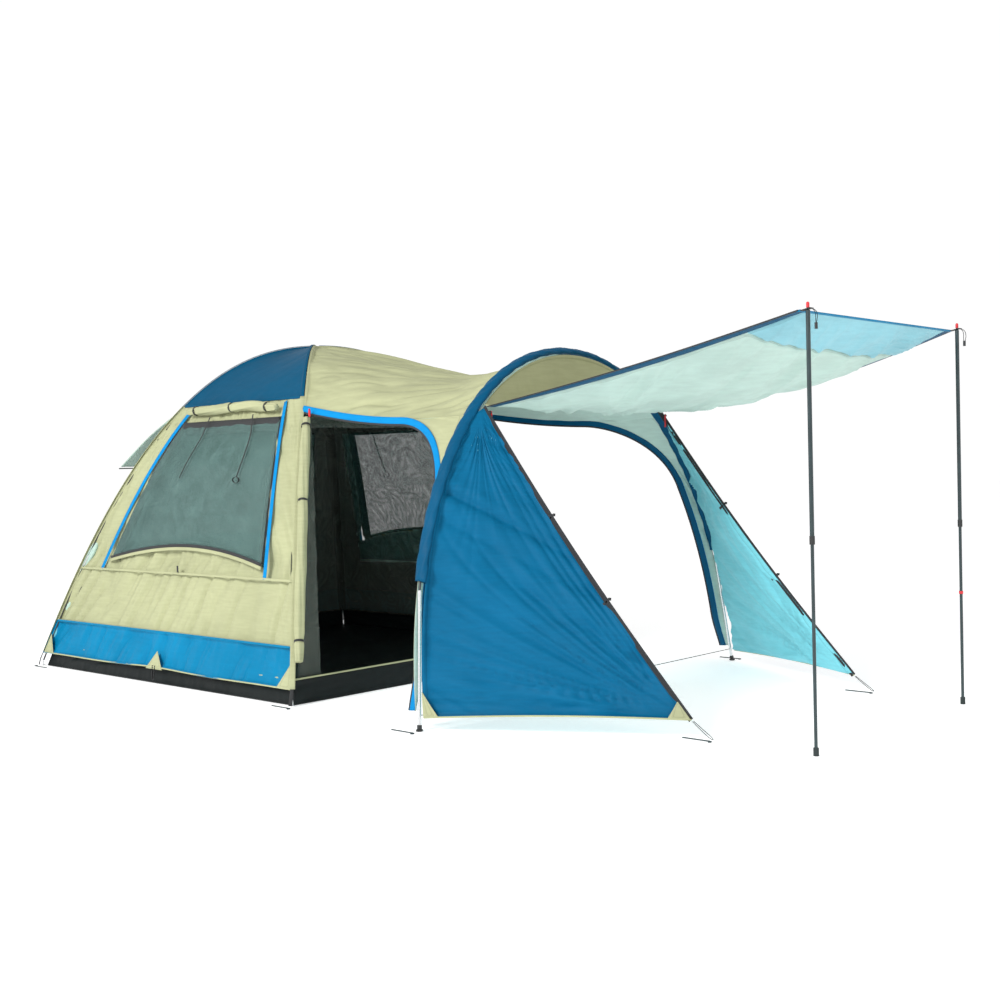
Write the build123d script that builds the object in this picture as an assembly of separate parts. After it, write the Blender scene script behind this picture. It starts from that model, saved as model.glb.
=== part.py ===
from build123d import *
import os
from math import asin, cos, pi, radians, sin

# Family dome tent with a hooped front vestibule and a raised awning door.
# Millimetres, +Z up. The origin is the centre of the sleeping floor's underside, on the ground.
# The awning and the vestibule are towards -Y, and the tent is the same on its -X and +X sides.

# ---- driving dimensions -------------------------------------------------------------------
FLOOR_SIDE = 2580.0          # square bathtub floor
TUB_HEIGHT = 130.0           # black bathtub wall
TUB_THICK = 3.0

FLY_HALF = 1330.0            # half width of the fly's outer surface at the ground
PEAK = 2070.0                # height of the fly at the crossing of the poles
POLE_BEND = 0.45             # shape of the bent poles: half width = FLY_HALF * (1 - z/PEAK) ** POLE_BEND
CLOTH = 3.0                  # thickness of every cloth solid
SEAM_GAP = 9.0               # half the gap that the sewn edges leave at a pole

HEM_Z = 92.0                 # lower edge of the fly
BAND_Z = 302.0               # top of the blue mud flap
SEAM_Z = 645.0               # seam under the window
SILL_Z = 715.0               # window sill at its ends
SILL_RISE = 90.0             # how far the arched sill rises in its middle
LINTEL_Z = 1575.0            # top of the window
ROOF_Z = 1690.0              # seam between wall and roof
WINDOW_SHARE = 0.72          # half width of the window as a share of the wall's half width
ROOF_END = 45.0              # half width left open under the crossing of the poles

INNER_GAP = 75.0             # from the fly in to the inner tent
INNER_SILL = 560.0           # lower edge of the inner tent's mesh windows
INNER_TOP = 1600.0           # top of the inner tent's walls
INNER_PEAK_HALF = 60.0       # half width of the open peak of the inner tent
INNER_DROP = 60.0            # how far the inner tent hangs below the poles' crossing
DOOR_JAMB_SHARE = 0.80       # the inner doorway's half width as a share of the wall's

POLE_R = 4.75                # 9.5 mm glass fibre dome and hoop poles
POLE_INSET = 20.0            # from the fly in to the poles' centre line
FERRULE_R = 6.6
FERRULE_BORE = 5.6
FERRULE_LENGTH = 80.0
POLE_SECTIONS = 8            # sections in each dome pole
POLE_CROSSING = 12.0         # how far the second pole passes below the first

HOOP_Y = -2320.0             # where the hoop's feet stand
HOOP_HALF = 1355.0           # half width of the hoop's centre line at the ground
HOOP_HEIGHT = 1880.0         # height of its centre line, along the leaning plane
HOOP_LEAN = radians(5.0)     # the hoop leans back towards the dome
HOOP_ROUND = 2.05            # exponent of its rounded outline, 2 is an ellipse
HOOP_SECTIONS = 5
LEG_TOP = 660.0              # top of the bare silver leg tube
LEG_R = 9.5
BOOT_PLATE = 8.0             # thickness of the foot under each leg
SLEEVE_BOTTOM = 700.0
SLEEVE_WIDTH = 84.0
SLEEVE_DEPTH = 30.0

HINGE_X = 760.0              # half width of the awning hinge and of the wings' front edges
HINGE_Y = -2235.0
HINGE_Z = 1550.0
WING_TIP = (-3462.0, 88.0)   # y and z of the fabric tip of each wing
PEG_Y = -3560.0              # where the wing's peg holds
WING_HEM_Z = 66.0            # hem of the wing at the hoop

AWNING_LENGTH = 1828.0       # from the hinge to the front edge
AWNING_TILT = radians(10.0)  # raised above horizontal
AWNING_HALF = 750.0
AWNING_SAG = 60.0            # how far the cloth hangs below its edges
BAND_LENGTH = 300.0          # light band across the front of the awning
TRIM_WIDTH = 60.0            # side trims of the awning

PROP_X = 733.0               # the two awning poles
PROP_OFFSET = 34.0           # from the awning's front edge out to the pole
PROP_R = 9.5
PROP_INNER_R = 7.5
PROP_WALL = 1.0
PROP_OVERLAP = 150.0         # how far the lower tube reaches into the upper one
PROP_SPLIT = 900.0           # lower end of the upper tube
COLLAR_R = 11.5              # grip collar at that end
SPIKE_R = 3.0

DOOR_TOP_SHARE = 0.50        # the dome pole's share of half width where the side door ends
DOOR_TOP_Z = 1500.0          # height on the hoop where the side door ends
BAND_CURVE_Z = 1080.0        # the band behind the hoop's leg widens above this height
BAND_LOW = 0.02              # its width as a share of the way to the dome's pole
BAND_TURN = 60.0             # how far its edge turns in behind the leg
BAND_HIGH = 0.36
ROOF_SAG = 40.0              # the vestibule roof's sag at its edges
ROOF_DIP = 120.0             # and the further dip in its middle, towards the hoop
ROLL_R = 34.0                # rolled side doors and window covers
ROLL_FOOT_Z = 230.0
ROLL_HEAD_Z = 1560.0
ROLL_CLEAR = 26.0            # from the dome's pole to a rolled side door
WINDOW_ROLL_Z = 1640.0
WINDOW_ROLL_RISE = 14.0
HOOD_OUT = 1290.0            # y of the rear hood's outer edge
HOOD_Z = 1305.0
HOOD_HALF = 690.0            # half width of its outer edge
HOOD_CROWN = 26.0            # how far it bows up between its edges

os.makedirs("parts", exist_ok=True)
made = {}


def save(name, solids):
    """Writes one node from one solid or from a list of separate solids."""
    solids = solids if isinstance(solids, list) else [solids]
    made[name] = solids
    shape = solids[0] if len(solids) == 1 else Compound(children=solids)
    shape.label = name
    export_step(shape, f"parts/{name}.step")


# ---- the surfaces that everything follows -------------------------------------------------
def half_side(z):
    """Half width of the square dome at a height."""
    return FLY_HALF * max(0.0, 1 - z / PEAK) ** POLE_BEND


def height_at(half):
    """Height at which the dome has this half width."""
    return PEAK * (1 - (half / FLY_HALF) ** (1 / POLE_BEND))


TURNS = {"left": (-1, 0), "right": (1, 0), "rear": (0, 1), "front": (0, -1)}


def wall_point(side, share, z, inset=0.0):
    """A point on one of the dome's four walls: share runs from -1 to 1 across the wall."""
    half = half_side(z) - inset
    nx, ny = TURNS[side]
    return Vector(nx * half - ny * share * half, ny * half + nx * share * half, z)


def pole_point(x, y_sign=-1):
    """A point on the line of the dome poles, from one corner (x = -FLY_HALF) over the peak."""
    return Vector(x, y_sign * abs(x), height_at(abs(x)))


def hoop_point(angle, grow=0.0, along=0.0):
    """A point on the hoop: angle 0 is the -X foot, pi/2 the top. grow is outwards, along is in Y."""
    across = cos(angle)
    up = abs(sin(angle)) ** (2 / HOOP_ROUND) * (HOOP_HEIGHT + grow)
    side = abs(across) ** (2 / HOOP_ROUND) * (HOOP_HALF + grow)
    x = -side if across > 0 else side
    return Vector(x, HOOP_Y + up * sin(HOOP_LEAN) + along, up * cos(HOOP_LEAN))


def hoop_angle(z):
    """The angle on the -X side at which the hoop's centre line has this height."""
    return asin((z / cos(HOOP_LEAN) / HOOP_HEIGHT) ** (HOOP_ROUND / 2))


def mix(a, b, share):
    return a + (b - a) * share


def mirrored(solid):
    return mirror(solid, about=Plane.YZ)


# ---- builders -----------------------------------------------------------------------------
def quad(a, b, c, d):
    return [(a, b, c), (a, c, d)]


def closed(outlines):
    """A closed solid from the corners of its flat faces."""
    solid = Solid(Shell([Face(Wire.make_polygon(list(corners))) for corners in outlines]))
    if solid.volume < 0:
        solid = Solid(Shell([Face(Wire.make_polygon(list(corners)[::-1])) for corners in outlines]))
    return solid


def sheet(grid, inside, thick=CLOTH):
    """A thin closed solid: the grid is its outer surface, and it is thick towards the point inside."""
    rows, cols = len(grid), len(grid[0])
    inner = []
    for i in range(rows):
        line = []
        for j in range(cols):
            along = grid[min(i + 1, rows - 1)][j] - grid[max(i - 1, 0)][j]
            across = grid[i][min(j + 1, cols - 1)] - grid[i][max(j - 1, 0)]
            normal = along.cross(across).normalized()
            if normal.dot(inside - grid[i][j]) < 0:
                normal = -normal
            line.append(grid[i][j] + normal * thick)
        inner.append(line)
    faces = []
    for i in range(rows - 1):
        for j in range(cols - 1):
            faces += quad(grid[i][j], grid[i + 1][j], grid[i + 1][j + 1], grid[i][j + 1])
            faces += quad(inner[i][j], inner[i][j + 1], inner[i + 1][j + 1], inner[i + 1][j])
    for i in range(rows - 1):
        for j in (0, cols - 1):
            faces += quad(grid[i][j], grid[i + 1][j], inner[i + 1][j], inner[i][j])
    for j in range(cols - 1):
        for i in (0, rows - 1):
            faces += quad(grid[i][j], grid[i][j + 1], inner[i][j + 1], inner[i][j])
    return closed(faces)


def grid_of(point, us, vs):
    return [[point(u, v) for v in vs] for u in us]


def spread(low, high, count):
    """count evenly spaced values from low to high."""
    return [low + (high - low) * k / (count - 1) for k in range(count)]


def bar(loops):
    """A closed solid through a row of matching loops, capped by its first and last loop."""
    faces = [tuple(loops[0][::-1]), tuple(loops[-1])]
    sides = len(loops[0])
    for a, b in zip(loops, loops[1:]):
        for k in range(sides):
            m = (k + 1) % sides
            faces += quad(a[k], a[m], b[m], b[k])
    return closed(faces)


def round_bar(points, radius, sides=10):
    """A soft round roll along a row of points."""
    loops = []
    for k, point in enumerate(points):
        ahead = points[min(k + 1, len(points) - 1)] - points[max(k - 1, 0)]
        plane = Plane(origin=point, z_dir=ahead)
        turns = [2 * pi * m / sides for m in range(sides)]
        loops.append([point + plane.x_dir * (radius * cos(t)) + plane.y_dir * (radius * sin(t))
                      for t in turns])
    return bar(loops)


def rod(start, end, radius):
    """A straight round rod between two points."""
    length = (end - start).length
    return Plane(origin=start, z_dir=end - start) * extrude(Circle(radius), length)


def tube(start, end, outer, inner):
    """A straight tube between two points."""
    length = (end - start).length
    ring = Circle(outer) - Circle(inner)
    return Plane(origin=start, z_dir=end - start) * extrude(ring, length)


def arc_rod(path, radius, bore=0.0):
    """A round rod or tube along an arc."""
    profile = Circle(radius) - Circle(bore) if bore else Circle(radius)
    return sweep(Plane(origin=path @ 0, z_dir=path % 0) * profile, path=path)


def block(x0, x1, y0, y1, z0, z1):
    centre = ((x0 + x1) / 2, (y0 + y1) / 2, (z0 + z1) / 2)
    return Pos(*centre) * Box(x1 - x0, y1 - y0, z1 - z0)


CENTRE = Vector(0, 0, 700)
PORCH = Vector(0, -1500, 600)


# ---- floor and bathtub --------------------------------------------------------------------
half_floor = FLOOR_SIDE / 2
save("tub_floor", block(-half_floor, half_floor, -half_floor, half_floor, 0, TUB_THICK))


def tub_wall(side):
    lean = FLY_HALF - half_side(TUB_HEIGHT)
    nx, ny = TURNS[side]

    def point(z, share):
        half = half_floor - 2 - lean * (z - TUB_THICK) / TUB_HEIGHT
        wide = half - CLOTH - 4
        return Vector(nx * half - ny * share * wide, ny * half + nx * share * wide, z)

    return sheet(grid_of(point, [TUB_THICK + 1.5, TUB_HEIGHT], [-1, 1]), CENTRE)


save("tub_walls", [tub_wall(side) for side in TURNS])


# ---- inner tent ---------------------------------------------------------------------------
def inner_panel(side, heights, low_share, high_share, columns=5):
    point = lambda z, share: wall_point(side, share, z, INNER_GAP)
    return sheet(grid_of(point, heights, spread(low_share, high_share, columns)), CENTRE)


INNER_WALL = spread(TUB_HEIGHT + 4, INNER_SILL, 3)
INNER_OPEN = spread(INNER_SILL, LINTEL_Z - 60, 6)
INNER_HEAD = spread(LINTEL_Z - 60, INNER_TOP, 3)
EDGE_SHARE = 0.975


def inner_wall(side):
    """Lower wall, two jambs and a header round the mesh window."""
    jamb_heights = [z + (4 if k == 0 else -4 if k == 5 else 0) for k, z in enumerate(INNER_OPEN)]
    return [
        inner_panel(side, INNER_WALL, -EDGE_SHARE, EDGE_SHARE),
        inner_panel(side, jamb_heights, -EDGE_SHARE, -WINDOW_SHARE, 2),
        inner_panel(side, jamb_heights, WINDOW_SHARE, EDGE_SHARE, 2),
        inner_panel(side, INNER_HEAD, -EDGE_SHARE, EDGE_SHARE),
    ]


for side in ("left", "right", "rear"):
    save(f"inner_wall_{side}", inner_wall(side))

mesh_share = WINDOW_SHARE - 0.01
mesh_heights = spread(INNER_SILL + 8, LINTEL_Z - 68, 6)
save("inner_window_mesh", [inner_panel(side, mesh_heights, -mesh_share, mesh_share)
                           for side in ("left", "right", "rear")])

jamb_rows = spread(TUB_HEIGHT + 4, LINTEL_Z - 64, 8)
save("inner_front_wall", [
    inner_panel("front", jamb_rows, -EDGE_SHARE, -DOOR_JAMB_SHARE, 2),
    inner_panel("front", jamb_rows, DOOR_JAMB_SHARE, EDGE_SHARE, 2),
    inner_panel("front", INNER_HEAD, -EDGE_SHARE, EDGE_SHARE),
])


def inner_gore(side):
    """One triangular gore of the inner tent's roof."""
    start = half_side(INNER_TOP + 8) - INNER_GAP
    nx, ny = TURNS[side]

    def point(half, share):
        drop = INNER_DROP * (start - half) / (start - INNER_PEAK_HALF)
        z = height_at(half + INNER_GAP) - drop
        wide = half - 8
        return Vector(nx * half - ny * share * wide, ny * half + nx * share * wide, z)

    return sheet(grid_of(point, spread(start, INNER_PEAK_HALF, 5), [-1, 0, 1]), CENTRE)


save("inner_roof", [inner_gore(side) for side in TURNS])


# ---- dome poles ---------------------------------------------------------------------------
def dome_pole_line(x, turn, drop):
    """Centre line of a dome pole, set in from the fly's diagonal edge along its normal."""
    steepness = (abs(x) / FLY_HALF) ** (1 / POLE_BEND - 1) * PEAK / POLE_BEND / FLY_HALF
    slope = -steepness if x > 0 else steepness
    normal = Vector(-slope, -turn * slope, 2).normalized()
    near_peak = cos(min(pi / 2, abs(x) / 700 * pi / 2))
    on_edge = Vector(x, turn * x, height_at(abs(x)))
    return on_edge - normal * POLE_INSET - Vector(0, 0, drop * near_peak)


def even_stations(point, low, high, count, fine=400):
    """Values between low and high that cut the line into count equal lengths."""
    values = spread(low, high, fine)
    points = [point(v) for v in values]
    lengths = [0.0]
    for a, b in zip(points, points[1:]):
        lengths.append(lengths[-1] + (b - a).length)
    picked = []
    for k in range(count + 1):
        target = lengths[-1] * k / count
        index = min(range(fine), key=lambda m: abs(lengths[m] - target))
        picked.append(values[index])
    return picked


PIN_TOP = 46.0
corner_x = FLY_HALF * (1 - PIN_TOP / PEAK) ** POLE_BEND


def pole_set(point, low, high, count):
    """Sections of a sectioned pole and the steel ferrules over their joints."""
    stations = even_stations(point, low, high, 2 * count)
    arcs = [ThreePointArc(point(stations[2 * k]), point(stations[2 * k + 1]), point(stations[2 * k + 2]))
            for k in range(count)]
    sections = [arc_rod(arc, POLE_R) for arc in arcs]
    ferrules = []
    for before, after in zip(arcs, arcs[1:]):
        reach = FERRULE_LENGTH / 2
        joint = ThreePointArc(before @ (1 - reach / before.length), before @ 1, after @ (reach / after.length))
        ferrules.append(arc_rod(joint, FERRULE_R, FERRULE_BORE))
    return sections, ferrules


all_ferrules = []
for name, turn, drop in (("dome_pole_a", 1, 0.0), ("dome_pole_b", -1, POLE_CROSSING)):
    line = lambda x: dome_pole_line(x, turn, drop)
    sections, ferrules = pole_set(line, -corner_x, corner_x, POLE_SECTIONS)
    save(name, sections)
    all_ferrules += ferrules


# ---- hoop ---------------------------------------------------------------------------------
leg_angle = hoop_angle(LEG_TOP)
hoop_sections, hoop_ferrules = pole_set(hoop_point, leg_angle, pi - leg_angle, HOOP_SECTIONS)
save("hoop_pole", hoop_sections)
save("pole_ferrules", all_ferrules + hoop_ferrules)

foot = hoop_point(0)
leg_end = hoop_point(leg_angle)
leg_dir = (leg_end - foot).normalized()
leg_base = foot + leg_dir * 30
leg = tube(leg_base, leg_end - leg_dir * 0.2, LEG_R, LEG_R - 1.2)
save("hoop_leg_tubes", [leg, mirrored(leg)])

boot = rod(Vector(foot.X, foot.Y, 0), Vector(foot.X, foot.Y, BOOT_PLATE), 17)
boot = boot + rod(Vector(foot.X, foot.Y, BOOT_PLATE), leg_base - leg_dir * 1.0, 12)
save("hoop_feet", [boot, mirrored(boot)])


def sleeve_loop(angle):
    """Channel section of the sleeve: a top strip with two edges that come down beside the pole."""
    half = SLEEVE_WIDTH / 2
    top, low = SLEEVE_DEPTH / 2 + CLOTH, -SLEEVE_DEPTH / 2
    under = SLEEVE_DEPTH / 2
    outline = [(top, -half), (top, half), (low, half), (low, half - CLOTH),
               (under, half - CLOTH), (under, CLOTH - half), (low, CLOTH - half), (low, -half)]
    return [hoop_point(angle, grow, along) for grow, along in outline]


sleeve_start = hoop_angle(SLEEVE_BOTTOM)
save("hoop_sleeve", bar([sleeve_loop(a) for a in spread(sleeve_start, pi - sleeve_start, 25)]))


# ---- fly: mud flaps, walls, roof ----------------------------------------------------------
def fly_panel(side, rows, low_share, high_share, columns=7):
    """A panel of one dome wall: each row gives a height for a share across the wall."""
    def point(row, share):
        z = row(share)
        half = half_side(z)
        nx, ny = TURNS[side]
        wide = half - SEAM_GAP
        return Vector(nx * half - ny * share * wide, ny * half + nx * share * wide, z)

    return sheet(grid_of(point, rows, spread(low_share, high_share, columns)), CENTRE)


def level(z):
    return lambda share: z


def sill(share):
    return SILL_Z + SILL_RISE * (1 - (share / WINDOW_SHARE) ** 2)


def fly_wall(side):
    """Lower wall with its arched sill, two jambs and the header."""
    lower = [level(z) for z in spread(BAND_Z + 2, SEAM_Z, 4)] + [sill]
    corner = [level(z) for z in spread(BAND_Z + 2, ROOF_Z - 2, 11)]
    head = [level(z) for z in (LINTEL_Z, ROOF_Z - 2)]
    edge = WINDOW_SHARE + 0.004
    return [
        fly_panel(side, lower, -WINDOW_SHARE, WINDOW_SHARE),
        fly_panel(side, corner, -1, -edge, 2),
        fly_panel(side, corner, edge, 1, 2),
        fly_panel(side, head, -WINDOW_SHARE, WINDOW_SHARE),
    ]


flap_rows = [level(z) for z in spread(HEM_Z, BAND_Z - 2, 3)]
save("mud_flaps", [fly_panel(side, flap_rows, -1, 1, 5) for side in ("left", "right", "rear")])
save("fly_wall_left", fly_wall("left"))
save("fly_wall_right", fly_wall("right"))
save("fly_wall_rear", fly_wall("rear"))


def window_mesh(side):
    share = WINDOW_SHARE - 0.012
    rows = [lambda s: sill(s) + 6] + [level(z) for z in spread(900, LINTEL_Z - 6, 5)]
    return fly_panel(side, rows, -share, share, 7)


save("fly_window_mesh", [window_mesh(side) for side in ("left", "right", "rear")])


def fly_gore(side):
    """A triangular roof panel from the wall's seam up to the crossing of the poles."""
    nx, ny = TURNS[side]

    def point(half, share):
        wide = half - SEAM_GAP
        return Vector(nx * half - ny * share * wide, ny * half + nx * share * wide, height_at(half))

    halves = spread(half_side(ROOF_Z + 2), ROOF_END, 6)
    return sheet(grid_of(point, halves, spread(-1, 1, 5)), CENTRE)


save("roof_side_panels", [fly_gore("left"), fly_gore("right")])
save("roof_rear_panel", fly_gore("rear"))


def window_roll(side):
    """The window's cover, rolled up and tied under the roof seam."""
    nx, ny = TURNS[side]
    points = []
    for share in spread(-0.98, 0.98, 7):
        z = WINDOW_ROLL_Z + WINDOW_ROLL_RISE * (1 - share ** 2)
        half = half_side(z) + ROLL_R + 6
        wide = WINDOW_SHARE * half_side(z) * share
        points.append(Vector(nx * half - ny * wide, ny * half + nx * wide, z))
    return round_bar(points, ROLL_R)


save("window_rolls", [window_roll("left"), window_roll("right")])

# ---- rear hood ----------------------------------------------------------------------------
hood_root_z = ROOF_Z - 14
hood_root = half_side(hood_root_z) + 5


def hood_point(out, share):
    y = mix(hood_root, HOOD_OUT, out)
    z = mix(hood_root_z, HOOD_Z, out) + HOOD_CROWN * sin(pi * out)
    return Vector(share * mix(hood_root - 25, HOOD_HALF, out), y, z)


save("rear_hood", sheet(grid_of(hood_point, spread(0, 1, 5), spread(-1, 1, 5)), CENTRE))
rod_y, rod_z = HOOD_OUT - 4, HOOD_Z - 12
rod_half = HOOD_HALF + 15
save("hood_rod", rod(Vector(-rod_half, rod_y, rod_z), Vector(rod_half, rod_y, rod_z), 4))


# ---- vestibule ----------------------------------------------------------------------------
door_half = FLY_HALF * DOOR_TOP_SHARE
door_angle = hoop_angle(DOOR_TOP_Z)


def roof_point(share, out):
    """The vestibule's roof: share -1 to 1 over the arch, out from the dome poles to the hoop."""
    x = share * door_half
    start = pole_point(x) + Vector(0, -2 * SEAM_GAP, 0)
    end = hoop_point(pi / 2 + share * (pi / 2 - door_angle), SLEEVE_DEPTH / 2, SLEEVE_WIDTH / 2 + 4)
    sag = ROOF_SAG * sin(pi * out) + ROOF_DIP * (1 - share ** 2) * sin(pi * out ** 1.8)
    middle = mix(start, end, out)
    return middle - Vector(0, 0, sag)


def door_band(sign):
    """The narrow side wall behind the hoop's leg, which widens into the roof over the side door."""
    def point(z, across):
        curve = max(0.0, (z - BAND_CURVE_Z) / (DOOR_TOP_Z - BAND_CURVE_Z))
        width = BAND_LOW + (BAND_HIGH - BAND_LOW) * (1 - (1 - curve ** 2) ** 0.5)
        near = hoop_point(hoop_angle(z), 0, SLEEVE_WIDTH / 2 + 5)
        far = Vector(-half_side(z), -half_side(z), z)
        turn = BAND_TURN * across * (1 - curve) * min(1.0, z / BAND_CURVE_Z)
        place = mix(near, far, across * width) + Vector(turn, 0, 0)
        return Vector(-sign * place.X, place.Y, place.Z)

    heights = spread(HEM_Z, BAND_CURVE_Z, 5) + spread(BAND_CURVE_Z, DOOR_TOP_Z - 60, 5)[1:]
    return sheet(grid_of(point, heights, [0, 0.5, 1]), PORCH)


roof_shares = spread(-1, 1, 13)
porch_roof = sheet(grid_of(roof_point, roof_shares, spread(0, 1, 8)), PORCH)
save("vestibule_roof", [porch_roof, door_band(-1), door_band(1)])


def side_door_roll(sign):
    """The side door, rolled up and tied beside the dome's front pole."""
    points = []
    for z in spread(ROLL_FOOT_Z, ROLL_HEAD_Z, 8):
        half = half_side(z)
        points.append(Vector(sign * (half + 4), -half - ROLL_R - ROLL_CLEAR, z))
    return round_bar(points, ROLL_R)


save("side_door_rolls", [side_door_roll(-1), side_door_roll(1)])


def arch_point(share, down):
    """The front segment between the hoop and the awning hinge."""
    end_angle = hoop_angle(HINGE_Z + 75)
    top = hoop_point(pi / 2 + share * (pi / 2 - end_angle), -SLEEVE_DEPTH / 2 - 8, -30)
    low = Vector(share * HINGE_X, HINGE_Y + 14, HINGE_Z + 12)
    return mix(top, low, down)


save("front_arch_panel", sheet(grid_of(arch_point, spread(1, -1, 11), [0, 0.5, 1]), PORCH))


def wing(sign):
    """A triangular front wing from the hoop's leg to the slanted zip edge."""
    def point(up, out):
        z = mix(WING_HEM_Z, HINGE_Z - 24, up)
        base = hoop_point(hoop_angle(z), -6, -SLEEVE_WIDTH / 2 - 5)
        tip = Vector(-HINGE_X, mix(WING_TIP[0], HINGE_Y, up), mix(WING_TIP[1], HINGE_Z - 6, up))
        place = mix(base, tip, out)
        return Vector(-sign * place.X, place.Y, place.Z)

    return sheet(grid_of(point, spread(0, 1, 9), spread(0, 1, 5)), PORCH)


save("front_wings", [wing(-1), wing(1)])

zip_top = Vector(-HINGE_X, HINGE_Y, HINGE_Z)
zip_foot = Vector(-HINGE_X, WING_TIP[0], WING_TIP[1])
zip_dir = (zip_foot - zip_top).normalized()
ZIP_GAP = 4.0
zip_out = Vector(0, -zip_dir.Z, zip_dir.Y)
if zip_out.Y > 0:
    zip_out = -zip_out


def zip_frame(at, off, x_shift=0.0):
    """A point beside the wing's slanted edge: at along it from the top, off in front of it."""
    return zip_top + zip_dir * at + zip_out * off + Vector(x_shift, 0, 0)


def zip_strip(at0, at1, off0, off1, x0, x1):
    """A straight strip along the zip edge."""
    corners = [(off0, x0), (off1, x0), (off1, x1), (off0, x1)]
    return bar([[zip_frame(at, off, x) for off, x in corners] for at in (at0, at1)])


zip_length = (zip_foot - zip_top).length
chain = zip_strip(30, zip_length - 4, ZIP_GAP, ZIP_GAP + 8, -1, 1)
save("wing_zips", [chain, mirrored(chain)])

# ---- zip sliders and their pulls ----------------------------------------------------------
SLIDER_AT = 42.0
SLIDER_LENGTH = 14.0
PULL_LENGTH = 70.0
PIN_R = 1.5
slider = zip_strip(SLIDER_AT, SLIDER_AT + SLIDER_LENGTH, ZIP_GAP - 1, ZIP_GAP + 14, -4.5, 4.5)
slot = zip_strip(SLIDER_AT - 1, SLIDER_AT + SLIDER_LENGTH + 1, ZIP_GAP - 2, ZIP_GAP + 8.6, -1.6, 1.6)
pin_base = zip_frame(SLIDER_AT + SLIDER_LENGTH / 2, ZIP_GAP + 11, 4.5)
pin = rod(pin_base - Vector(0.5, 0, 0), pin_base + Vector(3.2, 0, 0), PIN_R)
pin_head = rod(pin_base + Vector(3.2, 0, 0), pin_base + Vector(4.0, 0, 0), 2.6)
slider = slider - slot + pin + pin_head
save("zip_slider_left", slider)
save("zip_slider_right", mirrored(slider))

pull = block(0.4, 2.8, -5, 5, -PULL_LENGTH, 0) + rod(Vector(0.4, 0, 0), Vector(2.8, 0, 0), 5)
pull = Pos(*pin_base) * pull
pull = pull - rod(pin_base - Vector(1, 0, 0), pin_base + Vector(5, 0, 0), PIN_R + 0.1)
save("zip_pull_left", pull)
save("zip_pull_right", mirrored(pull))

# ---- awning -------------------------------------------------------------------------------
hinge = Vector(0, HINGE_Y, HINGE_Z)
awning_out = Vector(0, -cos(AWNING_TILT), sin(AWNING_TILT))
awning_up = Vector(0, sin(AWNING_TILT), cos(AWNING_TILT))
AWNING_START = 12.0
panel_end = AWNING_LENGTH - BAND_LENGTH


def awning_point(at, x):
    """A point on the awning: at from the hinge along it, x across, with the cloth's sag."""
    share_x = x / AWNING_HALF
    share_y = at / AWNING_LENGTH
    sag = AWNING_SAG * (1 - share_x ** 2) * sin(pi * share_y)
    return hinge + awning_out * at + Vector(x, 0, 0) - awning_up * sag


BELOW = Vector(0, -3000, 0)
inner_half = AWNING_HALF - TRIM_WIDTH - 2
panel_xs = spread(-inner_half, inner_half, 9)
save("awning_panel", sheet(grid_of(awning_point, spread(AWNING_START, panel_end, 8), panel_xs), BELOW))
band_rows = spread(panel_end + 2, AWNING_LENGTH, 3)
save("awning_front_band", sheet(grid_of(awning_point, band_rows, panel_xs), BELOW))
trim_rows = spread(AWNING_START, AWNING_LENGTH, 10)
trim = sheet(grid_of(awning_point, trim_rows, [-AWNING_HALF, 1 - AWNING_HALF + TRIM_WIDTH]), BELOW)
save("awning_trim_left", trim)
save("awning_trim_right", mirrored(trim))

# ---- awning poles -------------------------------------------------------------------------
edge = hinge + awning_out * AWNING_LENGTH
fold_pivot = edge - awning_up * (CLOTH / 2)
prop = Vector(-PROP_X, edge.Y - PROP_OFFSET * cos(AWNING_TILT), 0)
TAB_THICK = 2.4
TAB_HALF = 17.0
TAB_GAP = 1.6                # clear of the awning's edge when the pole folds against it
tab_z = edge.Z + PROP_OFFSET * sin(AWNING_TILT) - CLOTH / 2
prop_top = tab_z - 9


def corner_tab():
    """Webbing tab with a steel eyelet, sewn to the awning's corner."""
    far = awning_out * (PROP_OFFSET + 18)
    near = awning_out * TAB_GAP
    start = fold_pivot + Vector(-PROP_X, 0, 0)
    half = Vector(TAB_HALF, 0, 0)
    corners = [start + near - half, start + near + half, start + far + half, start + far - half]
    under = [c - awning_up * TAB_THICK for c in corners]
    tab = bar([corners, under])
    return tab - rod(Vector(prop.X, prop.Y, tab_z - 40), Vector(prop.X, prop.Y, tab_z + 40), SPIKE_R + 2.2)


tab = corner_tab()
eyelet = tube(Vector(prop.X, prop.Y, tab_z - 5.5), Vector(prop.X, prop.Y, tab_z + 3.5),
              SPIKE_R + 2.0, SPIKE_R + 0.4)
tab = [tab, eyelet]

spike = rod(Vector(prop.X, prop.Y, prop_top - 30), Vector(prop.X, prop.Y, tab_z + 12), SPIKE_R)
plug = rod(Vector(prop.X, prop.Y, prop_top), Vector(prop.X, prop.Y, prop_top + 3), PROP_R)
plug = plug + rod(Vector(prop.X, prop.Y, prop_top - 30), Vector(prop.X, prop.Y, prop_top + 1),
                  PROP_R - PROP_WALL - 0.1)
spike = spike + plug
cap = rod(Vector(prop.X, prop.Y, tab_z + 4.2), Vector(prop.X, prop.Y, tab_z + 22), 7)
cap = cap + Pos(prop.X, prop.Y, tab_z + 22) * Sphere(7)
cap = cap - rod(Vector(prop.X, prop.Y, tab_z), Vector(prop.X, prop.Y, tab_z + 12.2), SPIKE_R + 0.05)
upper = tube(Vector(prop.X, prop.Y, PROP_SPLIT), Vector(prop.X, prop.Y, prop_top - 0.05),
             PROP_R, PROP_R - PROP_WALL)
collar = tube(Vector(prop.X, prop.Y, PROP_SPLIT - 12), Vector(prop.X, prop.Y, PROP_SPLIT + 24),
              COLLAR_R, PROP_R + 0.05)
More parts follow.
